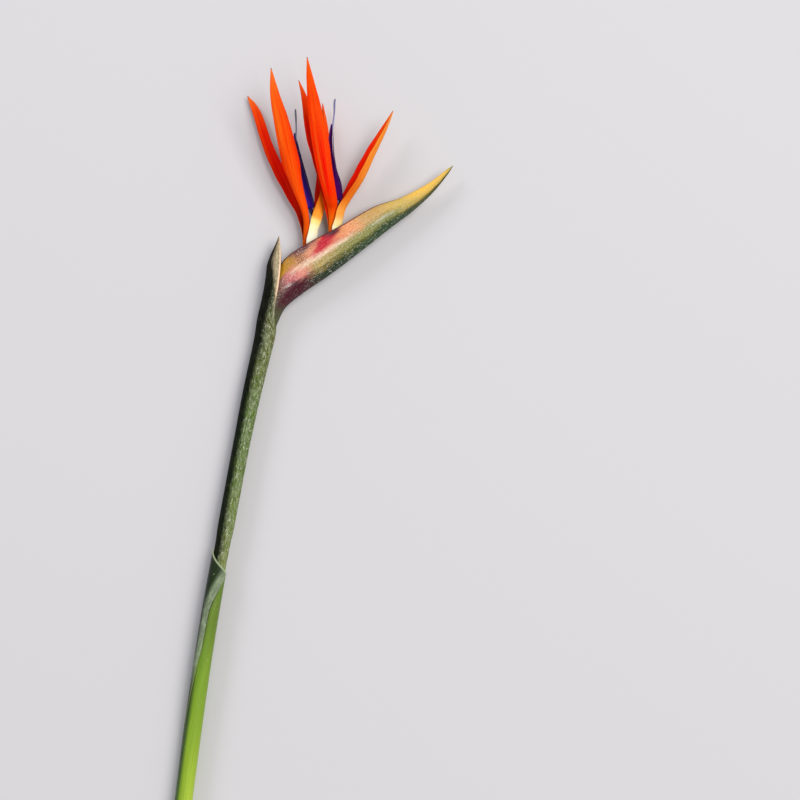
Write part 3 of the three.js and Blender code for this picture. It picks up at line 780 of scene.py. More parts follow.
# %% Colours of the sepals
TIP = (1.0, "#7a4020")
UNDER_BACK = [(0, "#d86a20"), (0.3, "#f04a08"), (0.7, "#ff5a08"), (0.985, "#ff8a38"), TIP]
OVER_HOLLOW = [(0, "#c05010"), (0.4, "#c81c04"), (0.8, "#e83c0c"), (0.985, "#ff7a30"), TIP]
SEPAL_COLOURS = {
    "floret_1_sepal_under": dict(
        back=UNDER_BACK,
        hollow=[
            (0, "#7a2804"), (0.2, "#c01c02"), (0.34, "#e80c00"), (0.55, "#ff1000"), (0.75, "#ff2400"),
            (0.88, "#ff4c08"), (0.985, "#ff7c28"), TIP
        ],
        flush=[("#ff5c10", (0.74, 0.8), (0.2, 0.3), 0.7)],
        seed=1.3,
    ),
    "floret_1_sepal_over": dict(
        back=[
            (0, "#9a4410"), (0.14, "#e8580a"), (0.26, "#fa5204"), (0.4, "#fc4400"), (0.6, "#ff4800"),
            (0.8, "#ff5806"), (0.985, "#ff7c28"), TIP
        ],
        hollow=OVER_HOLLOW,
        flush=[
            ("#ff7418", (0.74, -0.5), (0.2, 0.3), 0.8), ("#ff6408", (0.42, 0.05), (0.2, 0.3), 0.7),
            ("#e01400", (0.55, 0.9), (0.35, 0.25), 0.7), ("#e81c00", (0.4, -0.75), (0.2, 0.25), 0.7)
        ],
        seed=2.1,
    ),
    "floret_1_sepal_keel": dict(
        back=[
            (0, "#eee0d0"), (0.1, "#f8efd8"), (0.17, "#fcf2c0"), (0.205, "#ffe68c"), (0.242, "#ffa83a"),
            (0.34, "#ff9820"), (0.45, "#ff7c08"), (0.7, "#ff4a02"), (0.985, "#f8601c"), TIP
        ],
        hollow=[
            (0, "#f4e8c0"), (0.15, "#ffc870"), (0.2, "#f07818"), (0.26, "#e83404"), (0.45, "#ff0c00"),
            (0.7, "#ff2000"), (0.985, "#ee5014"), TIP
        ],
        seed=3.7,
    ),
    "floret_2_sepal_under": dict(
        back=UNDER_BACK,
        hollow=[
            (0, "#9a3008"), (0.24, "#d01000"), (0.45, "#ff0c00"), (0.7, "#ff1c00"), (0.86, "#ff4404"),
            (0.985, "#ff7424"), TIP
        ],
        seed=4.9,
    ),
    "floret_2_sepal_over": dict(
        back=[
            (0, "#b85a10"), (0.1, "#ea6408"), (0.2, "#fa4000"), (0.3, "#ff1e00"), (0.55, "#ff1a00"),
            (0.76, "#ff3400"), (0.9, "#ff5404"), (0.985, "#ff7020"), TIP
        ],
        hollow=OVER_HOLLOW,
        flush=[
            ("#ff4c04", (0.55, 0.7), (0.25, 0.3), 0.7), ("#ff5806", (0.75, 0.0), (0.2, 0.4), 0.5),
            ("#f00800", (0.42, -0.3), (0.16, 0.4), 0.6)
        ],
        seed=5.5,
    ),
    "floret_2_sepal_keel": dict(
        back=[
            (0, "#e89060"), (0.07, "#fff2c8"), (0.12, "#ffdc98"), (0.19, "#ffa448"), (0.3, "#ff9028"),
            (0.6, "#ffa034"), (0.85, "#ffa43c"), (0.985, "#ffa850"), TIP
        ],
        hollow=[
            (0, "#f0b080"), (0.14, "#ff8424"), (0.24, "#ff2000"), (0.5, "#ff1000"), (0.7, "#ff2c00"),
            (0.85, "#ff5408"), (0.985, "#ff8430"), TIP
        ],
        seed=6.2,
    ),
}
print("coloured:", sorted(SEPAL_COLOURS))

# %% [markdown]
# Every sepal now goes the same way: its two grids are lofted, closed to a thin body, ribbed by the
# tree and dressed in its finish. A loop over the list does it, so a change to the way reaches all six.

# %% Make the sepals
SEPAL_RIBS = dict(rib_count=7.0, rib_depth=0.07 * MM, unevenness=1.2)

for name, form in SEPALS.items():
    grids = blade(
        path=form["path"],
        facing=turning(*form["facing"]),
        width=profile(*form["width"]),
        bend=profile(*form["bend"]),
        roundness=form.get("roundness", 0.6),
        thickness=SEPAL_THICKNESS,
        edge=SEPAL_EDGE,
        places=np.linspace(0, 1, SEPAL_ROWS + 1),
        half=SEPAL_HALF,
        rib=SEPAL_MIDRIB,
        wave=KEEL_WAVE if "keel" in name else SEPAL_WAVE,
    )
    colours = SEPAL_COLOURS[name]
    finish = sepal_finish(name.replace("floret", "orange"), **colours)
    dress(name, "sepal", grids, finish, seed=colours["seed"], **SEPAL_RIBS)

# %% [markdown]
# ## The arrows
# Two petals of each floret have grown together into one blue arrow: a thin claw, two barbs that are
# swept back and a long trough that holds the stamens and the style. The barbs could be pieces of
# their own, but on the flower they are the same flesh. So an arrow is a blade like the sepals, whose
# width jumps at the barbs, with rows packed closer there to keep the jump round.

# %% Shapes of the arrows
ARROW_THICKNESS = 0.7
ARROW_EDGE = 0.3
ARROW_HALF = 12
ARROW_MIDRIB = 0.15
ARROW_FACING = turning((0, (1, 0, 0)), (1, (1, 0, 0.2)))

ARROWS = {
    1: dict(
        path=Line(
            (17.6, 36.8, 8.3), (19.2, 44.5, 8.2), (18.6, 58, 9.8), (18.2, 66.6, 11), (14.4, 84.2, 13.4),
            (10.7, 106.6, 16.2), (10.9, 114.3, 17)
        ),
        barbs=0.41,
        past_barbs=[(0, 13.4), (0.18, 12.2), (0.34, 9.8), (0.5, 6.4)],
    ),
    2: dict(
        path=Line(
            (34.5, 45.8, 8.2), (35.6, 52.3, 7.9), (36.6, 59, 8.3), (37.6, 65, 9.6), (37.5, 70.5, 11.6),
            (36.2, 77, 13.6), (34.9, 85.2, 15.6), (33.4, 106, 19.8), (33.9, 114, 21.2), (35, 119.6, 22)
        ),
        barbs=0.39,
        past_barbs=[(0, 12), (0.11, 13.6), (0.24, 9.4), (0.4, 7.4), (0.54, 6.4)],
    ),
}


def rows_between(*stretches):
    """Places from 0 to 1: counts of even steps between given places."""
    parts = [np.linspace(start, end, count, endpoint=False) for start, end, count in stretches]
    return np.concatenate(parts + [[stretches[-1][1]]])


print("arrow lengths in mm:", [round(a["path"].length, 1) for a in ARROWS.values()])

# %% [markdown]
# ## The finish of an arrow
# The blue is dark and turns to a lighter violet where the fold catches the light. Gloss alone could
# give that, but then it would move with the light. So the finish paints the light in: a lighter ridge
# along the fold is a painted sheen, and the darker margins are painted shade. Its claw is pale, and
# the shared veins make the gloss uneven.

# %% Arrow finish
def arrow_finish(name, barbs, middle, tip, painted_sheen):
    made, tree, skin = new_finish(name, 0.4, Specular_IOR_Level=0.12)
    along, across, inside = marks(tree, "along", "across", "inside")
    claw = [(0, "#cfc4d0"), (0.09, "#8a80a8"), (0.16, "#241458"), (0.34, "#1c0c4c")]
    body = along.ramp(*claw, (0.42, barbs), (0.52, middle), (0.72, tip), (1, tip))
    colour = body.mixed(inside * 0.5, "#140830")
    vein = veins(along, across, count=7.0, length=2.0, seed=8.0)
    colour = colour.mixed(vein["Streak"] * 0.35, middle)
    off_fold = abs(across)
    # Painted sheen: a lighter ridge beside the fold, from the barbs on.
    colour = colour.mixed(off_fold.grade(0.3, 0.75, 0.6, 0.0) * along.grade(0.34, 0.4), painted_sheen)
    # Painted shade: the margins darken towards the tip colour.
    colour = colour.mixed(off_fold.grade(0.6, 0.95, 0.0, 0.8), tip)
    gloss = vein["Line"].grade(0.0, 1.0, 0.34, 0.5)
    feed(skin, Base_Color=colour, Roughness=gloss, Normal=bump(vein["Streak"], 0.3, 0.0003))
    return made


# The last colour of each finish is its painted sheen.
ARROW_FINISHES = {
    1: arrow_finish("blue_arrow", "#3a0c98", "#2c0870", "#16043c", "#5038c4"),
    2: arrow_finish("violet_arrow", "#4c0678", "#540870", "#320248", "#7420a4"),
}
print("finishes:", [finish.name for finish in ARROW_FINISHES.values()])

# %% [markdown]
# The two arrows are lofted as the sepals are. The barbs sweep back as their rows spread, so that each
# ends in a rounded lobe behind the place where the trough begins.

# %% Make the arrows
for number, form in ARROWS.items():
    b = form["barbs"]
    claw_end = b - 0.05
    first = form["past_barbs"][0][1]
    foot = [(0, 2.8), (claw_end, 3.4), (b - 0.036, 0.5 * first), (b - 0.02, 0.82 * first)]
    widths = foot + [(b + past, value) for past, value in form["past_barbs"]] + [(1, 1.6)]
    grids = blade(
        path=form["path"],
        facing=ARROW_FACING,
        width=profile(*widths),
        bend=profile((0, 60), (b, 74), (1, 60)),
        roundness=0.35,
        thickness=ARROW_THICKNESS,
        edge=ARROW_EDGE,
        places=rows_between(
            (0, claw_end, 20), (claw_end, b + 0.02, 16), (b + 0.02, b + 0.2, 24), (b + 0.2, 1, 40)
        ),
        half=ARROW_HALF,
        sweep=profile((0, 0), (claw_end, 0), (b, 2.6), (b + 0.2, 1.5), (1, 0)),
        rib=ARROW_MIDRIB,
    )
    ribs = dict(seed=9.0 + number, rib_count=4.0, rib_depth=0.05 * MM)
    dress(f"floret_{number}_arrow", "arrow", grids, ARROW_FINISHES[number], **ribs)

# %% [markdown]
# ## The nectary petals
# The third petal of each floret is a small scoop at the foot of the arrow that holds the nectar. Only
# its tip shows, as a dark knob between the claws. A drop of dark paint would do from above, but from
# the side the petal is seen to run down into the spathe, so it is a blade of its own.

# %% Make the nectary petals
# Its last colour is a painted sheen along the fold, as on the arrows.
KNOB = arrow_finish("dark_nectary", "#1e0a3c", "#1a0834", "#14062a", "#3c2a5c")
NECTARY_LINES = {
    1: Line(
        (21, 40.2, 8.4), (22.1, 45.4, 8.4), (22.8, 52, 8.4), (22.9, 58, 8.6), (21.6, 64.6, 9.4),
        (20.6, 67.2, 10.2)
    ),
    2: Line(
        (37.6, 48, 8.5), (38.7, 52.3, 8.5), (39.8, 59, 8.9), (40.6, 65, 10.2), (40, 69.4, 11.2),
        (39.3, 71.4, 11.8)
    ),
}

for number, path in NECTARY_LINES.items():
    grids = blade(
        path=path,
        facing=turning((0, (-1, 0, 0)), (0.75, (-1, 0, 0)), (0.9, (-0.5, 0, -1)), (1, (-0.2, 0, -1))),
        width=profile((0, 1), (0.5, 1.6), (0.8, 2.2), (0.9, 3.2), (0.98, 2.8), (1, 1.2)),
        bend=profile((0, 30), (1, 40)),
        roundness=1.0,
        thickness=0.6,
        edge=0.4,
        places=np.linspace(0, 1, 31),
        half=5,
    )
    name = f"floret_{number}_nectary_petal"
    dress(name, "arrow", grids, KNOB, seed=12.0, rib_count=2.0, rib_depth=0.02 * MM)

# %% [markdown]
# ## Rods along a line
# The stem, the styles, the anthers and the ovaries are all round rods that follow a line and change
# their girth. A curve's own bevel could make them, but it would leave no number for the finish to
# read. Geometry Nodes sweep a circle along the curve, scale it by the radius that each of its points
# carries, and store how far along the rod each ring lies.

# %% The rod tree
def rod_tree():
    tree, given, result = group_tree(
        "rod along a line", "GeometryNodeTree", ["Geometry"],
        geometry=SHAPE, sides=16, ring_spacing=0.001, finish=FINISH
    )
    feeds = {"Curve": given["Geometry"], "Length": given["Ring Spacing"]}
    even = put(tree, "GeometryNodeResampleCurve", feeds, mode="LENGTH")[0]
    factor = put(tree, "GeometryNodeSplineParameter")["Factor"]
    feeds = {"Geometry": even, "Name": "along", "Value": factor}
    placed = put(tree, "GeometryNodeStoreNamedAttribute", feeds)[0]
    feeds = {"Resolution": given["Sides"], "Radius": 1.0}
    circle = put(tree, "GeometryNodeCurvePrimitiveCircle", feeds)["Curve"]
    girth = put(tree, "GeometryNodeInputRadius")[0]
    feeds = {"Curve": placed, "Profile Curve": circle, "Scale": girth, "Fill Caps": True}
    swept = put(tree, "GeometryNodeCurveToMesh", feeds)[0]
    smooth = put(tree, "GeometryNodeSetShadeSmooth", {"Geometry": swept})[0]
    give_shape(smooth, given, result)
    return tree


ROD = rod_tree()


def rod(name, ending, path, girth, finish, rings, sides, spacing):
    """A rod along a line, read at so many rings, in the place of the solid of this name."""
    curve = bpy.data.curves.new(name + ending, "CURVE")
    curve.dimensions = "3D"
    spline = curve.splines.new("POLY")
    spline.points.add(rings - 1)
    places = np.linspace(0, 1, rings)
    for knot, place, radius in zip(spline.points, metres(path.at(places)), girth(places)):
        knot.co = (*place, 1.0)
        knot.radius = radius * MM
    made = new_object(name + ending, curve)
    settle(grown(made, ROD, sides=sides, ring_spacing=spacing * MM, finish=finish), name)


print("rod nodes:", len(ROD.nodes))

# %% [markdown]
# ## The styles
# The style is a slate blue thread. It leaves the trough at the arrow's tip and ends in a slightly
# thicker, sticky stigma. It could be a plain wire of one width, but the swelling at its end and the
# mottled colour are what tells it from a stalk. So it is a rod with a girth along its line.

# %% Make the styles
STYLE_RADIUS = 0.45
STYLE_GIRTH = profile((0, STYLE_RADIUS), (0.88, STYLE_RADIUS), (0.96, 0.65), (0.99, 0.6), (1, 0.3))
STYLE_ENDS = {
    1: [(12.1, 115.6, 17.4), (12, 122.6, 18.2), (11.6, 129.7, 18.6)],
    2: [(36.2, 121, 22.4), (36.9, 127.2, 23.4), (37.2, 134.6, 23.8), (37.7, 135.8, 23.8)],
}


def in_trough(number, s, out):
    """Places in the trough of an arrow, so far from its fold."""
    path = ARROWS[number]["path"]
    along = path.tangent(s)
    facing = ARROW_FACING(s)
    facing = unit(facing - (facing * along).sum(-1, keepdims=True) * along)
    return path.at(s) + np.asarray(out)[:, None] * facing


def style_finish(name, foot, middle, top):
    made, tree, skin = new_finish(name)
    (along,) = marks(tree, "along")
    body = along.ramp((0, foot), (0.3, middle), (0.84, middle), (0.94, top), (1, top))
    mottle = object_place(tree).noise(2500.0, 3.0)
    colour = body.mixed(mottle.grade(0.45, 0.7, 0.0, 0.5), "#9aa4b4")
    feed(skin, Base_Color=colour, Normal=bump(mottle, 0.4, 0.0002))
    return made


STYLE_FINISHES = {
    1: style_finish("slate_style", "#3c3460", "#5c6c8c", "#4c5a68"),
    2: style_finish("lilac_style", "#4c3c80", "#7678b4", "#5c5c8c"),
}
for number, ends in STYLE_ENDS.items():
    s = np.linspace(0.01, 0.97, 13)
    path = Line(*in_trough(number, s, 1.75 - 0.55 * s), *ends)
    name = f"floret_{number}_style"
    finish = STYLE_FINISHES[number]
    rod(name, "_thread", path, STYLE_GIRTH, finish, rings=200, sides=12, spacing=0.6)

# %% [markdown]
# ## The anthers
# The anthers are long and narrow and lie side by side in the mouth of the trough, dusted with pale
# pollen. Grains could be scattered on them one by one, but they would be finer than anyone sees from
# here. So a rod with a coarse, dull, dusty finish stands for them.

# %% Make the anthers
STAMENS_UP_TO = {1: 0.86, 2: 0.97}
STAMENS_GIRTH = profile((0, 0.35), (0.15, 0.5), (0.85, 0.5), (1, 0.35))


def pollen_finish():
    made, tree, skin = new_finish("pale_anthers", 0.85)
    dust = object_place(tree).noise(3200.0, 3.0, 0.7)
    colour = mix(dust.grade(0.4, 0.62), "#a99fb0", "#ece6da")
    feed(skin, Base_Color=colour, Normal=bump(dust, 0.6, 0.0003))
    return made


POLLEN = pollen_finish()
for number, top in STAMENS_UP_TO.items():
    s = np.linspace(0.45, top, 5)
    path = Line(*in_trough(number, s, 3.0 - 1.2 * s))
    name = f"floret_{number}_stamens"
    rod(name, "_strip", path, STAMENS_GIRTH, POLLEN, rings=120, sides=10, spacing=0.5)

# %% [markdown]
# ## The spathe
# The spathe is one leaf folded into a boat, which holds the florets and lets them out through a slit
# along its rim. A tapered tube could be cut open for it, but its flanks swell by a rule: most in the
# middle, less towards the tip. So it is lofted from the line of its open rim to the line of its keel,
# as its solid is, with a finer wall and lengthwise ribs.

# %% Loft the spathe
SPATHE_RIM = Line(
    (-13, -14, 0), (-9.6, 3, 0), (-4.5, 17.5, 0), (4.6, 33.2, 0), (22.4, 44.8, 0), (41, 54.6, 0),
    (61.8, 66.8, 0), (80.5, 73.4, 0), (98.5, 82.9, 0), (109.7, 91.3, 0), (113.9, 93.9, 0)
)
SPATHE_KEEL = Line(
    (-2.7, -14.6, 0), (0.3, -6.9, 0), (4.6, 1.2, 0), (15, 10.1, 0), (33.8, 22.8, 0), (53.9, 38, 0),
    (74.8, 54.5, 0), (88.2, 64.7, 0), (101.6, 77.3, 0), (111, 89.2, 0), (113.9, 93.6, 0)
)
SPATHE_WALL = 1.2
SPATHE_ROWS = 170
SPATHE_HALF = 30
STATIONS = 10


def at_stations(s, *knots):
    """Values at places s, from knots (tenth of the boat's length, value)."""
    return profile(*[(at / STATIONS, value) for at, value in knots])(s)


def spathe_grids():
    s = np.linspace(0, 1, SPATHE_ROWS + 1)[:, None]
    thickness = at_stations(
        s, (0, 4.7), (1, 5.1), (2, 6.3), (3, 8), (4, 8.9), (5, 8.5), (6, 6.8), (7, 4.7), (8, 2.6),
        (9, 1), (10, 0.25)
    )
    middle = at_stations(s, (0, 6.9), (1, 7.4), (2, 8), (3, 8.2), (4, 8.2), (5, 8.3), (10, 9.2))
    gap = at_stations(
        s, (0, 0.3), (2, 0.5), (3, 2.4), (3.6, 5.2), (4.9, 5.2), (5.4, 3), (6, 1), (8, 0.3), (10, 0.03)
    )
    fullness = at_stations(s, (0, 0.5), (1, 0.52), (3, 0.66), (5, 0.75), (10, 0.8))
    rim, keel = (line.by_span(s[:, 0])[:, None, :] for line in (SPATHE_RIM, SPATHE_KEEL))
    width = np.linalg.norm(rim - keel, axis=-1)
    wall = np.minimum(np.minimum(SPATHE_WALL, 0.4 * thickness), 0.3 * width)
    column = np.arange(-SPATHE_HALF, SPATHE_HALF + 1)[None, :]
    side = -np.sign(column)
    f = (1 - np.cos(np.pi * abs(column) / SPATHE_HALF)) / 2
    lean = 1 - 0.15 * np.minimum(4 * s, 1)
    swell = np.maximum(np.sin(np.pi * f**lean), 0) ** fullness
    flare = f**6
    thin = 1 - 0.55 * f**10
    start = 1.3 * wall / width
    outer = keel + f[..., None] * (rim - keel)
    inner = keel + (start + (1 - start) * f)[..., None] * (rim - keel)
    outer[..., 2] = np.maximum(middle + side * (thickness * swell + (gap + wall * thin) * flare), 0)
    inner[..., 2] = np.maximum(middle + side * ((thickness - wall) * swell + gap * flare), wall)
    along = np.repeat(s, column.size, axis=1)
    return outer, inner, dict(along=along, across=side * f * np.ones_like(along))


print("spathe length in mm:", round(SPATHE_KEEL.length))

# %% [markdown]
# ## The finish of the spathe
# Its colours are the flower's second surprise: ochre and gold along the open rim, a rosy waxed base,
# green along the flank, a maroon foot and a dark keel, darkened further by painted shade. They could
# be painted as a picture, but a picture would not follow the boat when it changes. So the finish mixes
# three bands, rim, flank and keel, that each change along the boat, lays ragged patches on them, one a
# painted highlight and one partly so, and then wax, flecks, veins, a darker keel edge of painted shade
# and a thin dark rim line.

# %% Spathe finish
RIM_COLOURS = [
    (0.2, "#6a5a30"), (0.245, "#c8960c"), (0.31, "#c08808"), (0.345, "#a8683a"), (0.385, "#ea9a74"),
    (0.45, "#e28a62"), (0.51, "#ea965c"), (0.57, "#c6a05c"), (0.68, "#ccb054"), (0.76, "#f0c04a"),
    (0.87, "#f2c654"), (0.93, "#cdb856"), (1.0, "#6a6a30"),
]
FLANK_COLOURS = [
    (0.1, "#5a6238"), (0.19, "#5c5a3c"), (0.235, "#8a5654"), (0.29, "#cc5e6a"), (0.335, "#e8907e"),
    (0.38, "#b8a054"), (0.5, "#8a8a3c"), (0.62, "#7e8440"), (0.7, "#b8a044"), (0.8, "#e0b848"),
    (0.9, "#d6b850"), (0.95, "#98983e"), (1.0, "#50582a"),
]
# The keel band is partly the keel's own dark green and maroon foot, partly painted shade where the keel
# faces away from the light.
KEEL_COLOURS = [
    (0.1, "#4c5230"), (0.19, "#4a3c2c"), (0.235, "#481428"), (0.325, "#4a1426"), (0.36, "#283018"),
    (0.41, "#1c3416"), (0.55, "#284820"), (0.66, "#22401e"), (0.75, "#464f1c"), (0.88, "#4e4c1a"),
    (1.0, "#40461e"),
]
# tint, centre along and across, half length and width, strength, slant, softness, raggedness, seed
SPATHE_PATCHES = {
    "maroon foot": ("#4c0c22", (0.262, 0.1), (0.07, 0.3), 0.9, -0.2, 0.5, 0.2, 1.0),
    # A painted highlight: the cream patch lies where the light falls on the swelling flank.
    "painted cream highlight": ("#ffe6c8", (0.4, 0.57), (0.09, 0.07), 0.85, 0.0, 0.8, 0.4, 2.0),
    "rose blush": ("#e0605c", (0.43, 0.67), (0.05, 0.07), 0.6, 0.0, 0.8, 0.3, 7.0),
    "crimson": ("#c4102c", (0.44, 0.86), (0.036, 0.26), 1.0, 0.16, 0.45, 0.22, 3.0),
    "dark rim": ("#4c0420", (0.468, 0.98), (0.026, 0.12), 1.0, 0.0, 0.6, 0.2, 4.0),
    "brown rim": ("#5e2430", (0.362, 0.99), (0.042, 0.13), 0.95, 0.0, 0.6, 0.3, 5.0),
    "foot scuff": ("#d4c6c4", (0.268, 0.4), (0.012, 0.05), 0.6, -0.2, 0.5, 0.8, 6.0),
    # Pale wax strokes, brightened further as a painted highlight.
    "flank wax and highlight": ("#dfe2d8", (0.6, 0.45), (0.03, 0.05), 0.35, 0.0, 0.5, 0.8, 9.0),
}


def spathe_finish():
    made, tree, skin = new_finish("rosy_green_spathe", 0.5, Specular_IOR_Level=0.25)
    along, across, inside = marks(tree, "along", "across", "inside")
    up = abs(across)
    place = vector(along * 76.0, across * 24.0)
    drift = (place.noise(0.35, 4.0, 0.6) - 0.5) * 0.34
    band = (up + drift) + along.grade(0.24, 0.4, -0.17, 0.0)
    colour = along.ramp(*KEEL_COLOURS).mixed(band.grade(0.13, 0.36), along.ramp(*FLANK_COLOURS))
    colour = colour.mixed(band.grade(0.44, 0.68), along.ramp(*RIM_COLOURS))
    for tint, centre, halves, strength, slant, softness, ragged, seed in SPATHE_PATCHES.values():
        shape = dict(slant=slant, softness=softness, ragged=ragged, seed=seed)
        colour = colour.mixed(patch(along, up, centre, halves, **shape) * strength, tint)
    red = patch(along, up, (0.44, 0.9), (0.06, 0.3))
    ochre = along.grade(0.29, 0.35, 1.0, 0.0) * up.grade(0.64, 0.8)
    strong = calc("MAXIMUM", red, ochre)
    grain = place.noise(1.9, 3.0, 0.7)
    rosy = along.grade(0.5, 0.6, 1.0, 0.25) * up.grade(0.25, 0.45) * (0.55 - strong * 0.5)
    colour = colour.mixed(grain.grade(0.5, 0.68) * rosy, "#ffe8dc")
    colour = colour.mixed(grain.grade(0.35, 0.5, 0.45, 0.0), "#8a5a44", "MULTIPLY")
    wax = waxed(place, film=(0.5, 0.45), flecks=(2.3, 0.6))
    bare = along.grade(0.3, 0.38, 0.75, 0.0) * up.grade(0.25, 0.45, 1.0, 0.3)
    film = along.grade(0.7, 0.9, 0.16, 0.04) * (1.0 - bare)
    colour = colour.mixed(wax["Film"] * film, "#a4b0a0")
    middle = along.grade(0.68, 0.8, 1.0, 0.15) * up.grade(0.62, 0.85, 1.0, 0.3)
    bare = calc("MAXIMUM", bare, strong * 0.8)
    dusted = middle * ((1.0 - bare) * 0.5)
    colour = colour.mixed(wax["Flecks"] * dusted, "#f2e8dc")
    vein = veins(along, across, count=16.0, length=2.0, seed=4.0)
    colour = colour.mixed(vein["Streak"] * 0.3, "#a08a5c", "MULTIPLY")
    # Painted shade: darkest along the keel edge.
    colour = colour.mixed(up.grade(0.0, 0.04, 0.7, 0.0), "#1c2c16")
    rim_line = up.grade(0.955, 0.985) * along.grade(0.6, 0.75, 0.9, 0.25)
    colour = colour.mixed(rim_line, "#54141e")
    colour = colour.mixed(inside.grade(0.6, 0.95), "#8a7a48")
    gloss = wax["Film"].grade(0.0, 1.0, 0.4, 0.6)
    height = vein["Streak"] + wax["Flecks"] * 0.5
    feed(skin, Base_Color=colour, Roughness=gloss, Normal=bump(height, 0.3, 0.0004))
    return made


BOAT = spathe_finish()
print("finish:", BOAT.name)

# %% [markdown]
# The boat is closed and ribbed like every thin body. Its ribs are few and wander, as in a leaf that
# has grown thick.

# %% Make the spathe
SPATHE_RIBS = dict(rib_count=11.0, rib_depth=0.1 * MM, unevenness=1.5, seed=21.0)
dress("spathe", "spathe", spathe_grids(), BOAT, **SPATHE_RIBS)

# %% [markdown]
# ## The stem
# The stem is a plain rod, thicker below its node than above, which bends at the neck and runs on a
# little way inside the spathe. Both sheaths hide nearly all of it, so only its cut end shows: a pale
# pith with a dot for each of the bundles that carried its water. The dots could be small solids, but
# they lie flush in the cut, so the finish draws them with cells of noise.

# %% Make the stem
SCAPE = [
    (-75.4, -435.5, 5.9), (-61.4, -318, 7.2), (-46.8, -214.5, 8.8), (-35.4, -149.5, 8.9),
    (-18, -58.5, 7.7), (-9.1, -19.5, 6.7),
]
STEM_LINE = Line(*SCAPE, (-6.6, -6.5, 7))
RACHIS_LINE = Line((-6.6, -6.5, 7), (-3, 4.4, 7.8), (3.4, 13.5, 8.4), (11, 20, 8.7))
STEM_NODE_AT = 228
STEM_RADIUS = 4.5
NODE_RADIUS = 3.2
UPPER_STEM_RADIUS = 4
RACHIS_RADIUS = 2.9
RACHIS_TIP_RADIUS = 2.2
LOWER_MOUTH_TIP_AT = 283


def stem_finish():
    made, tree, skin = new_finish("green_stem", 0.45)
    place = object_place(tree)
    (along,) = marks(tree, "along")
    body = along.ramp((0, "#a3a862"), (0.4, "#8c9c4c"), (0.8, "#7c8c44"), (1, "#c8c08a"))
    stretched = put(tree, "ShaderNodeMapping", {"Vector": place, "Scale": (2500, 90, 2500)})[0]
    fibre = stretched.noise(1.0, 3.0)
    colour = body.mixed(fibre.grade(0.35, 0.7, 0.0, 0.5), "#c2c48c")
    cut = along.grade(0.0, 0.0004, 1.0, 0.0)
    colour = colour.mixed(cut, "#ccd09a")
    cells = put(tree, "ShaderNodeTexVoronoi", {"Vector": place, "Scale": 1300.0})["Distance"]
    colour = colour.mixed(cells.grade(0.2, 0.32, 1.0, 0.0) * cut, "#6f7a3a")
    feed(skin, Base_Color=colour, Normal=bump(fibre, 0.3, 0.0002))
    return made


whole_stem = STEM_LINE.joined(RACHIS_LINE)
scape, total = STEM_LINE.length, whole_stem.length
radii = [
    (0, STEM_RADIUS), (STEM_NODE_AT - 6, STEM_RADIUS), (STEM_NODE_AT + 6, NODE_RADIUS),
    (LOWER_MOUTH_TIP_AT, NODE_RADIUS + 0.4), (LOWER_MOUTH_TIP_AT + 20, UPPER_STEM_RADIUS),
    (scape - 4, RACHIS_RADIUS + 0.2), (scape, RACHIS_RADIUS), (total, RACHIS_TIP_RADIUS)
]
girth = profile(*[(at / total, radius) for at, radius in radii])
rod("stem", "_core", whole_stem, girth, stem_finish(), rings=500, sides=40, spacing=2)

# %% [markdown]
# ## The sheaths
# Two leaf bases are rolled round the stem. The lower one covers it from the cut to a slanted mouth,
# the upper one comes out of that mouth, wraps the stem up to the neck and ends in a pointed bract.
# A tube with a cut mouth could stand for each, but both are leaves whose margins stay free. So both
# are lofted as an arc round the stem's line, from one margin to the other.

# %% Loft a rolled sheath
def across_and_above(path, s):
    """The directions to the right of a lying line and above it."""
    along = path.tangent(s)
    right = unit(np.cross(along, [0.0, 0.0, 1.0]))
    return right, unit(np.cross(right, along))


def rolled(path, foot, mouth, across, upright, wall, margin, lap, cover, places, sides):
    """Two grids of points of a sheath and its places: along, across from one margin round the back
    to the other, right from 0 at the left side to 1 at the right, and up from its foot to its mouth."""
    length = path.length
    v = np.asarray(places)[:, None]
    u = np.linspace(0, 1, sides + 1)[None, :]
    roughly = foot + (mouth(np.pi) - foot) * v
    angle = margin(roughly) + cover(roughly) * (u - 0.5) + np.pi
    at = np.clip(foot + (mouth(angle) - foot) * v, 0, length) * np.ones_like(u)
    right, above = across_and_above(path, at / length)
    centre = path.at(at / length)

    def layer(inset):
        a = across(at) + lap * (1 - u) - inset
        b = upright(at) + lap * (1 - u) - inset
        return centre + (a * np.cos(angle))[..., None] * right + (b * np.sin(angle))[..., None] * above

    whole = np.ones_like(at)
    right_side = 0.5 + 0.5 * np.cos(angle) * whole
    numbers = dict(along=at / length, across=u * whole, right=right_side, up=v * whole)
    return layer(0), layer(wall(at)), numbers


def by_length(length, *knots):
    """A profile whose knots are given in millimetres along a line."""
    read = profile(*[(at / length, value) for at, value in knots])
    return lambda at: read(np.asarray(at) / length)


print("stem length in mm:", round(scape))

# %% [markdown]
# ## The lower sheath
# The lower sheath is smooth and bright green, yellower towards the cut. Its free margin laps over the
# other, turns slowly round the stem and is waxed to a pale grey band near the mouth. The band could
# be a strip of its own, but it is the same leaf, so the finish finds it by its place across.

# %% Make the lower sheath
LOWER_SHEATH_RADIUS = 5.75
LOWER_MOUTH_DROP = 16
SEAT_GAP = 0.3
MARGIN_LAP = 0.45
# Sunny and shaded are lit and shaded copies of the sheath's green, mixed round the stem: the dark left
# is partly its own colour and partly painted shade, the right side painted light.
SHEATH_SUNNY = [
    (0, "#b4bc64"), (0.2, "#a2bc38"), (0.32, "#8eae2e"), (0.45, "#769a28"), (0.55, "#5c7822"),
    (0.63, "#4c6a2c"),
]
SHEATH_SHADED = [
    (0, "#7c8c3c"), (0.2, "#4c6c18"), (0.34, "#2c4c12"), (0.5, "#12280e"), (0.63, "#12241a"),
]


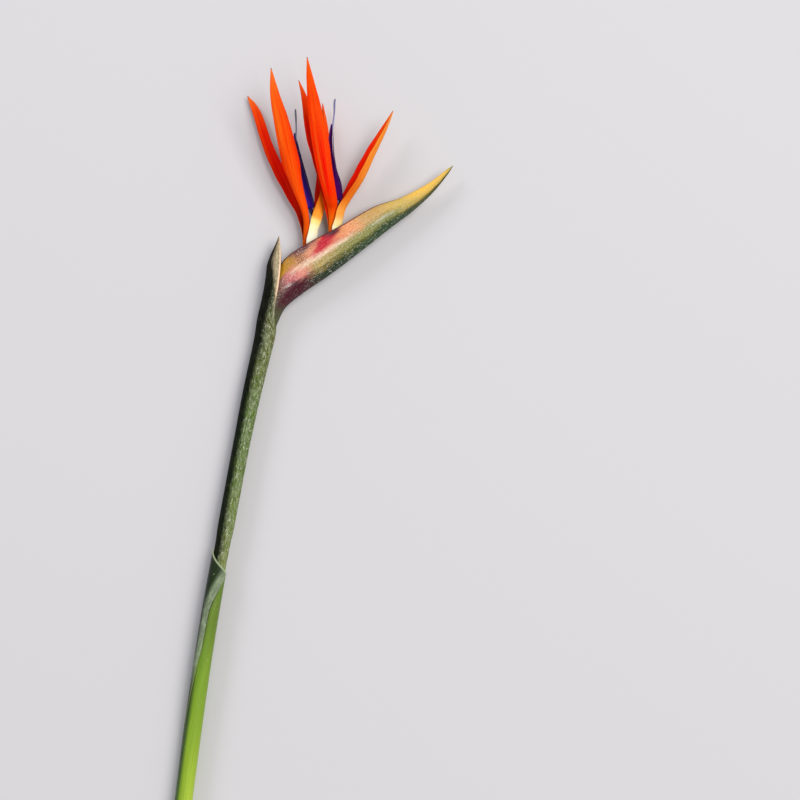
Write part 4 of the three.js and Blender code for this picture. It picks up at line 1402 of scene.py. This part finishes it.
def sheath_finish():
    made, tree, skin = new_finish("smooth_green_sheath", 0.4, Specular_IOR_Level=0.25)
    along, across, inside, right, up = marks(tree, "along", "across", "inside", "right", "up")
    colour = along.ramp(*SHEATH_SHADED).mixed(right.grade(0.06, 0.36), along.ramp(*SHEATH_SUNNY))
    # A painted highlight: yellow-green light along the right side, towards the cut.
    colour = colour.mixed(right.grade(0.4, 0.8) * along.grade(0.26, 0.37, 0.65, 0.08), "#bcd444")
    flap = across.grade(0.3, 0.42, 1.0, 0.0) * along.grade(0.46, 0.54)
    colour = colour.mixed(flap * 0.9, "#10200c")
    vein = veins(along, across, count=60.0, length=6.0, seed=31.0)
    colour = colour.mixed(vein["Streak"] * 0.3, "#5f8a34", "MULTIPLY")
    wax = waxed(vector(along * 150.0, across * 30.0), film=(0.5, 0.5), flecks=(1.5, 0.35))
    bloom = across.grade(0.06, 0.16, 1.0, 0.0) * along.grade(0.42, 0.5)
    colour = colour.mixed(bloom * (wax["Film"] * 0.4 + 0.5), "#94a484")
    colour = colour.mixed(wax["Flecks"] * along.grade(0.25, 0.5, 0.1, 0.5), "#d4dcc0")
    colour = colour.mixed(up.grade(0.0, 0.0004, 1.0, 0.0), "#b4c078")
    colour = colour.mixed(up.grade(0.993, 0.998) * 0.8, "#a8b890")
    colour = colour.mixed(inside, "#b9bc84")
    gloss = wax["Film"].grade(0.0, 1.0, 0.34, 0.5)
    feed(skin, Base_Color=colour, Roughness=gloss, Normal=bump(vein["Streak"], 0.25, 0.0003))
    return made


def mouth_of_lower(angle):
    away = np.abs(np.arctan2(np.sin(angle - np.pi), np.cos(angle - np.pi))) / np.pi
    return LOWER_MOUTH_TIP_AT - LOWER_MOUTH_DROP * away**0.8


margin_turn = profile(
    (0, 1.15), (0.5, 1.05), (0.65, 0.84), (0.74, 0.68), (0.79, 0.585), (0.88, 0.54), (0.915, 0.44),
    (0.95, 0.3), (1, 0.06)
)
seat = STEM_RADIUS + SEAT_GAP
bore = profile((0, seat), (0.8, seat), (1, seat + 0.3))
outside = LOWER_SHEATH_RADIUS - MARGIN_LAP / 2
grids = rolled(
    path=STEM_LINE,
    foot=0,
    mouth=mouth_of_lower,
    across=lambda at: outside,
    upright=lambda at: outside,
    wall=lambda at: outside - bore(at / LOWER_MOUTH_TIP_AT),
    margin=lambda at: np.pi * margin_turn(at / LOWER_MOUTH_TIP_AT),
    lap=MARGIN_LAP,
    cover=lambda at: 2 * np.pi - 0.06,
    places=np.linspace(0, 1, 241),
    sides=120,
)
SHEATH_RIBS = dict(rib_count=34.0, rib_depth=0.03 * MM, unevenness=0.8, seed=33.0)
dress("lower_sheath", "lower_sheath", grids, sheath_finish(), **SHEATH_RIBS)

# %% [markdown]
# ## The upper bract
# The upper bract wraps the stem up to the neck, opens there and ends in a flat pointed blade. It is
# waxed grey over olive and has brown specks along its open margin. Its left side is nearly black,
# partly its own colour and partly painted shade; its right side and the cream of the blade towards
# the open margin are partly painted light. A tube and a separate blade could be joined, but a seam
# would show. So one loft widens from the one into the other while its opening grows.

# %% Make the upper bract
UPPER_BRACT_FOOT_AT = 236
BRACT_LINE = Line(
    *SCAPE, (-6.6, -6.5, 7), (-3.4, 4, 7.9), (-1, 13, 8.4), (0.8, 27, 8.4), (1.2, 35, 8.5),
    (1.1, 42, 8.6), (0.8, 48, 8.7)
)
BRACT_LENGTH = BRACT_LINE.length
# Shaded and sunny are shaded and lit copies of the bract's olive, mixed round the stem: the dark left is
# partly its own colour and partly painted shade, the right side painted light.
BRACT_SHADED = [
    (0.5, "#101c06"), (0.7, "#0a1606"), (0.84, "#060c02"), (0.93, "#080a02"), (1, "#2c1c10"),
]
BRACT_SUNNY = [
    (0.5, "#9a9c48"), (0.62, "#70863a"), (0.75, "#5c7a2c"), (0.86, "#6a7034"), (1, "#6c6040"),
]


def from_tip(stem, tip):
    """A profile with knots along the stem from the cut, then back from the bract's tip."""
    return by_length(BRACT_LENGTH, *stem, *[(BRACT_LENGTH - back, value) for back, value in tip])


def bract_finish():
    made, tree, skin = new_finish("waxed_olive_bract", 0.65, Specular_IOR_Level=0.06)
    along, across, inside, right = marks(tree, "along", "across", "inside", "right")
    place = vector(along * 170.0, across * 32.0)
    wander = (place.noise(0.3, 4.0) - 0.5) * 0.35
    shift = along.grade(0.58, 0.66, 0.0, 0.1) + along.grade(0.8, 0.85, 0.0, -0.06)
    # seat runs from the painted shade on the left to the painted light on the right, shifted along the
    # bract.
    seat = (right + wander) + shift
    colour = along.ramp(*BRACT_SHADED).mixed(seat.grade(0.3, 0.82), along.ramp(*BRACT_SUNNY))
    # Cream-tan on the blade towards its open margin: partly its own colour, partly painted light on the
    # flank that faces the light.
    away = (across - wander * 0.5) / along.grade(0.915, 0.975, 0.03, 0.22)
    tan_side = along.grade(0.88, 0.93) * away.grade(0.5, 1.3, 1.0, 0.0)
    colour = colour.mixed(tan_side, "#dcc8a4")
    vein = veins(along, across, count=40.0, length=9.0, seed=41.0)
    colour = colour.mixed(vein["Streak"] * 0.4, "#7a7a54", "MULTIPLY")
    wax = waxed(place, film=(0.4, 0.6), flecks=(3.2, 0.66))
    # Wax film, pale lines and flecks are real, but they show only on the lit right side as painted
    # highlight.
    lit = right.grade(0.28, 0.6, 0.04, 0.95)
    colour = colour.mixed(wax["Film"] * (lit * 0.36), "#a8b094")
    mottle = veins(along, across, count=42.0, length=120.0, seed=45.0)
    colour = colour.mixed(mottle["Line"] * (lit * 0.5), "#a4b880")
    colour = colour.mixed(mottle["Streak"] * 0.5, "#3c4a28", "MULTIPLY")
    colour = colour.mixed(wax["Flecks"] * (lit * 0.85), "#dcdcc8")
    specks = place.noise(1.9, 3.0, 0.7).grade(0.52, 0.58)
    colour = colour.mixed(specks * tan_side * 0.8, "#4c3824")
    margin = across.grade(0.016, 0.045, 0.9, 0.0) * along.grade(0.905, 0.935)
    colour = colour.mixed(margin, "#ffd4b4")
    colour = colour.mixed(inside, "#b9b48a")
    height = vein["Streak"] + wax["Flecks"] * 0.4
    feed(skin, Base_Color=colour, Normal=bump(height, 0.35, 0.0004))
    return made


foot = [(0, 4.5), (UPPER_BRACT_FOOT_AT, 4.5), (LOWER_MOUTH_TIP_AT, 4.8)]
tube = foot + [(300, 5.35), (350, 5.45), (385, 6)]
wide = [(69, 6.6), (56, 7.05), (45, 7.7), (35, 8.3), (21, 8.3), (13, 6.4), (6, 3.2), (0, 0.35)]
high = [(69, 6.6), (56, 6.95), (45, 7.8), (35, 8.4), (21, 6.8), (13, 4.6), (6, 2.4), (0, 0.35)]
opening = from_tip([(0, 2)], [(70, 2), (63, 12), (58, 35), (52, 58), (45, 75), (35, 82), (0, 84)])
blade_foot = (BRACT_LENGTH - 76 - UPPER_BRACT_FOOT_AT) / (BRACT_LENGTH - UPPER_BRACT_FOOT_AT)
grids = rolled(
    path=BRACT_LINE,
    foot=UPPER_BRACT_FOOT_AT,
    mouth=lambda angle: BRACT_LENGTH,
    across=from_tip(tube, wide),
    upright=from_tip(tube, high),
    wall=from_tip([(0, 0.9)], [(200, 0.95), (30, 1), (6, 0.8), (0, 0.25)]),
    margin=lambda at: 0,
    lap=0,
    cover=lambda at: 2 * np.pi - 2 * np.radians(opening(at)),
    places=rows_between((0, blade_foot, 80), (blade_foot, 1, 120)),
    sides=110,
)
BRACT_RIBS = dict(rib_count=24.0, rib_depth=0.06 * MM, unevenness=1.2, seed=43.0)
dress("upper_bract", "upper_bract", grids, bract_finish(), **BRACT_RIBS)

# %% [markdown]
# ## Ovaries and buds
# Inside the spathe each open floret stands on its ovary, and three more florets wait in bud. Folded
# sepals could be modelled for each bud, but little of them shows between the rims, so plain rods with
# a streaked pale finish are enough.

# %% Make the ovaries and buds
def streaked_finish(name, foot, middle, tip, streak):
    made, tree, skin = new_finish(name, 0.45)
    feeds = {"Vector": object_place(tree), "Rotation": (0, 0, -0.85), "Scale": (1800, 120, 1800)}
    grain = put(tree, "ShaderNodeMapping", feeds)[0].noise(1.0, 3.0)
    (along,) = marks(tree, "along")
    body = along.ramp((0, foot), (0.5, middle), (1, tip))
    colour = body.mixed(grain.grade(0.45, 0.7, 0.0, 0.6), streak)
    feed(skin, Base_Color=colour, Normal=bump(grain, 0.3, 0.0002))
    return made


CREAM = streaked_finish("cream_ovary", "#c9cf9a", "#e0dcae", "#f4eed4", "#cdb98a")
BUD = streaked_finish("pale_bud", "#e8dcb0", "#f2b878", "#e88a4a", "#d86a34")
SWELLING = profile((0, 1.5), (0.35, 1.7), (0.75, 3.1), (1, 3.3))
SLIM = profile((0, 0.9), (0.25, 1.9), (0.6, 2.2), (0.9, 1.1), (1, 0.3))

for name, path in {
    "floret_1_ovary": Line((9, 23.4, 8.7), (12, 29, 8.7), (17.9, 35.1, 8.7)),
    "floret_2_ovary": Line((13.6, 22, 8.7), (24, 32, 8.7), (35.4, 43.6, 8.7)),
}.items():
    rod(name, "_body", path, SWELLING, CREAM, rings=60, sides=24, spacing=0.6)

for name, path in {
    "bud_3": Line(
        (14.6, 19.8, 10.6), (30, 30.5, 11.4), (46.8, 46, 11.6), (60, 57.2, 10.8), (70, 62.8, 9.8)
    ),
    "bud_4": Line(
        (14.6, 18.8, 6.8), (30, 30, 5.9), (46.8, 45.6, 5.7), (60, 56.8, 6.6), (70, 62.2, 7.8)
    ),
    "bud_5": Line((14.4, 16.2, 8.7), (31.4, 26.6, 8.6), (50.5, 42.2, 8.7), (62, 52, 8.8)),
}.items():
    rod(name, "_body", path, SLIM, BUD, rings=120, sides=16, spacing=1)
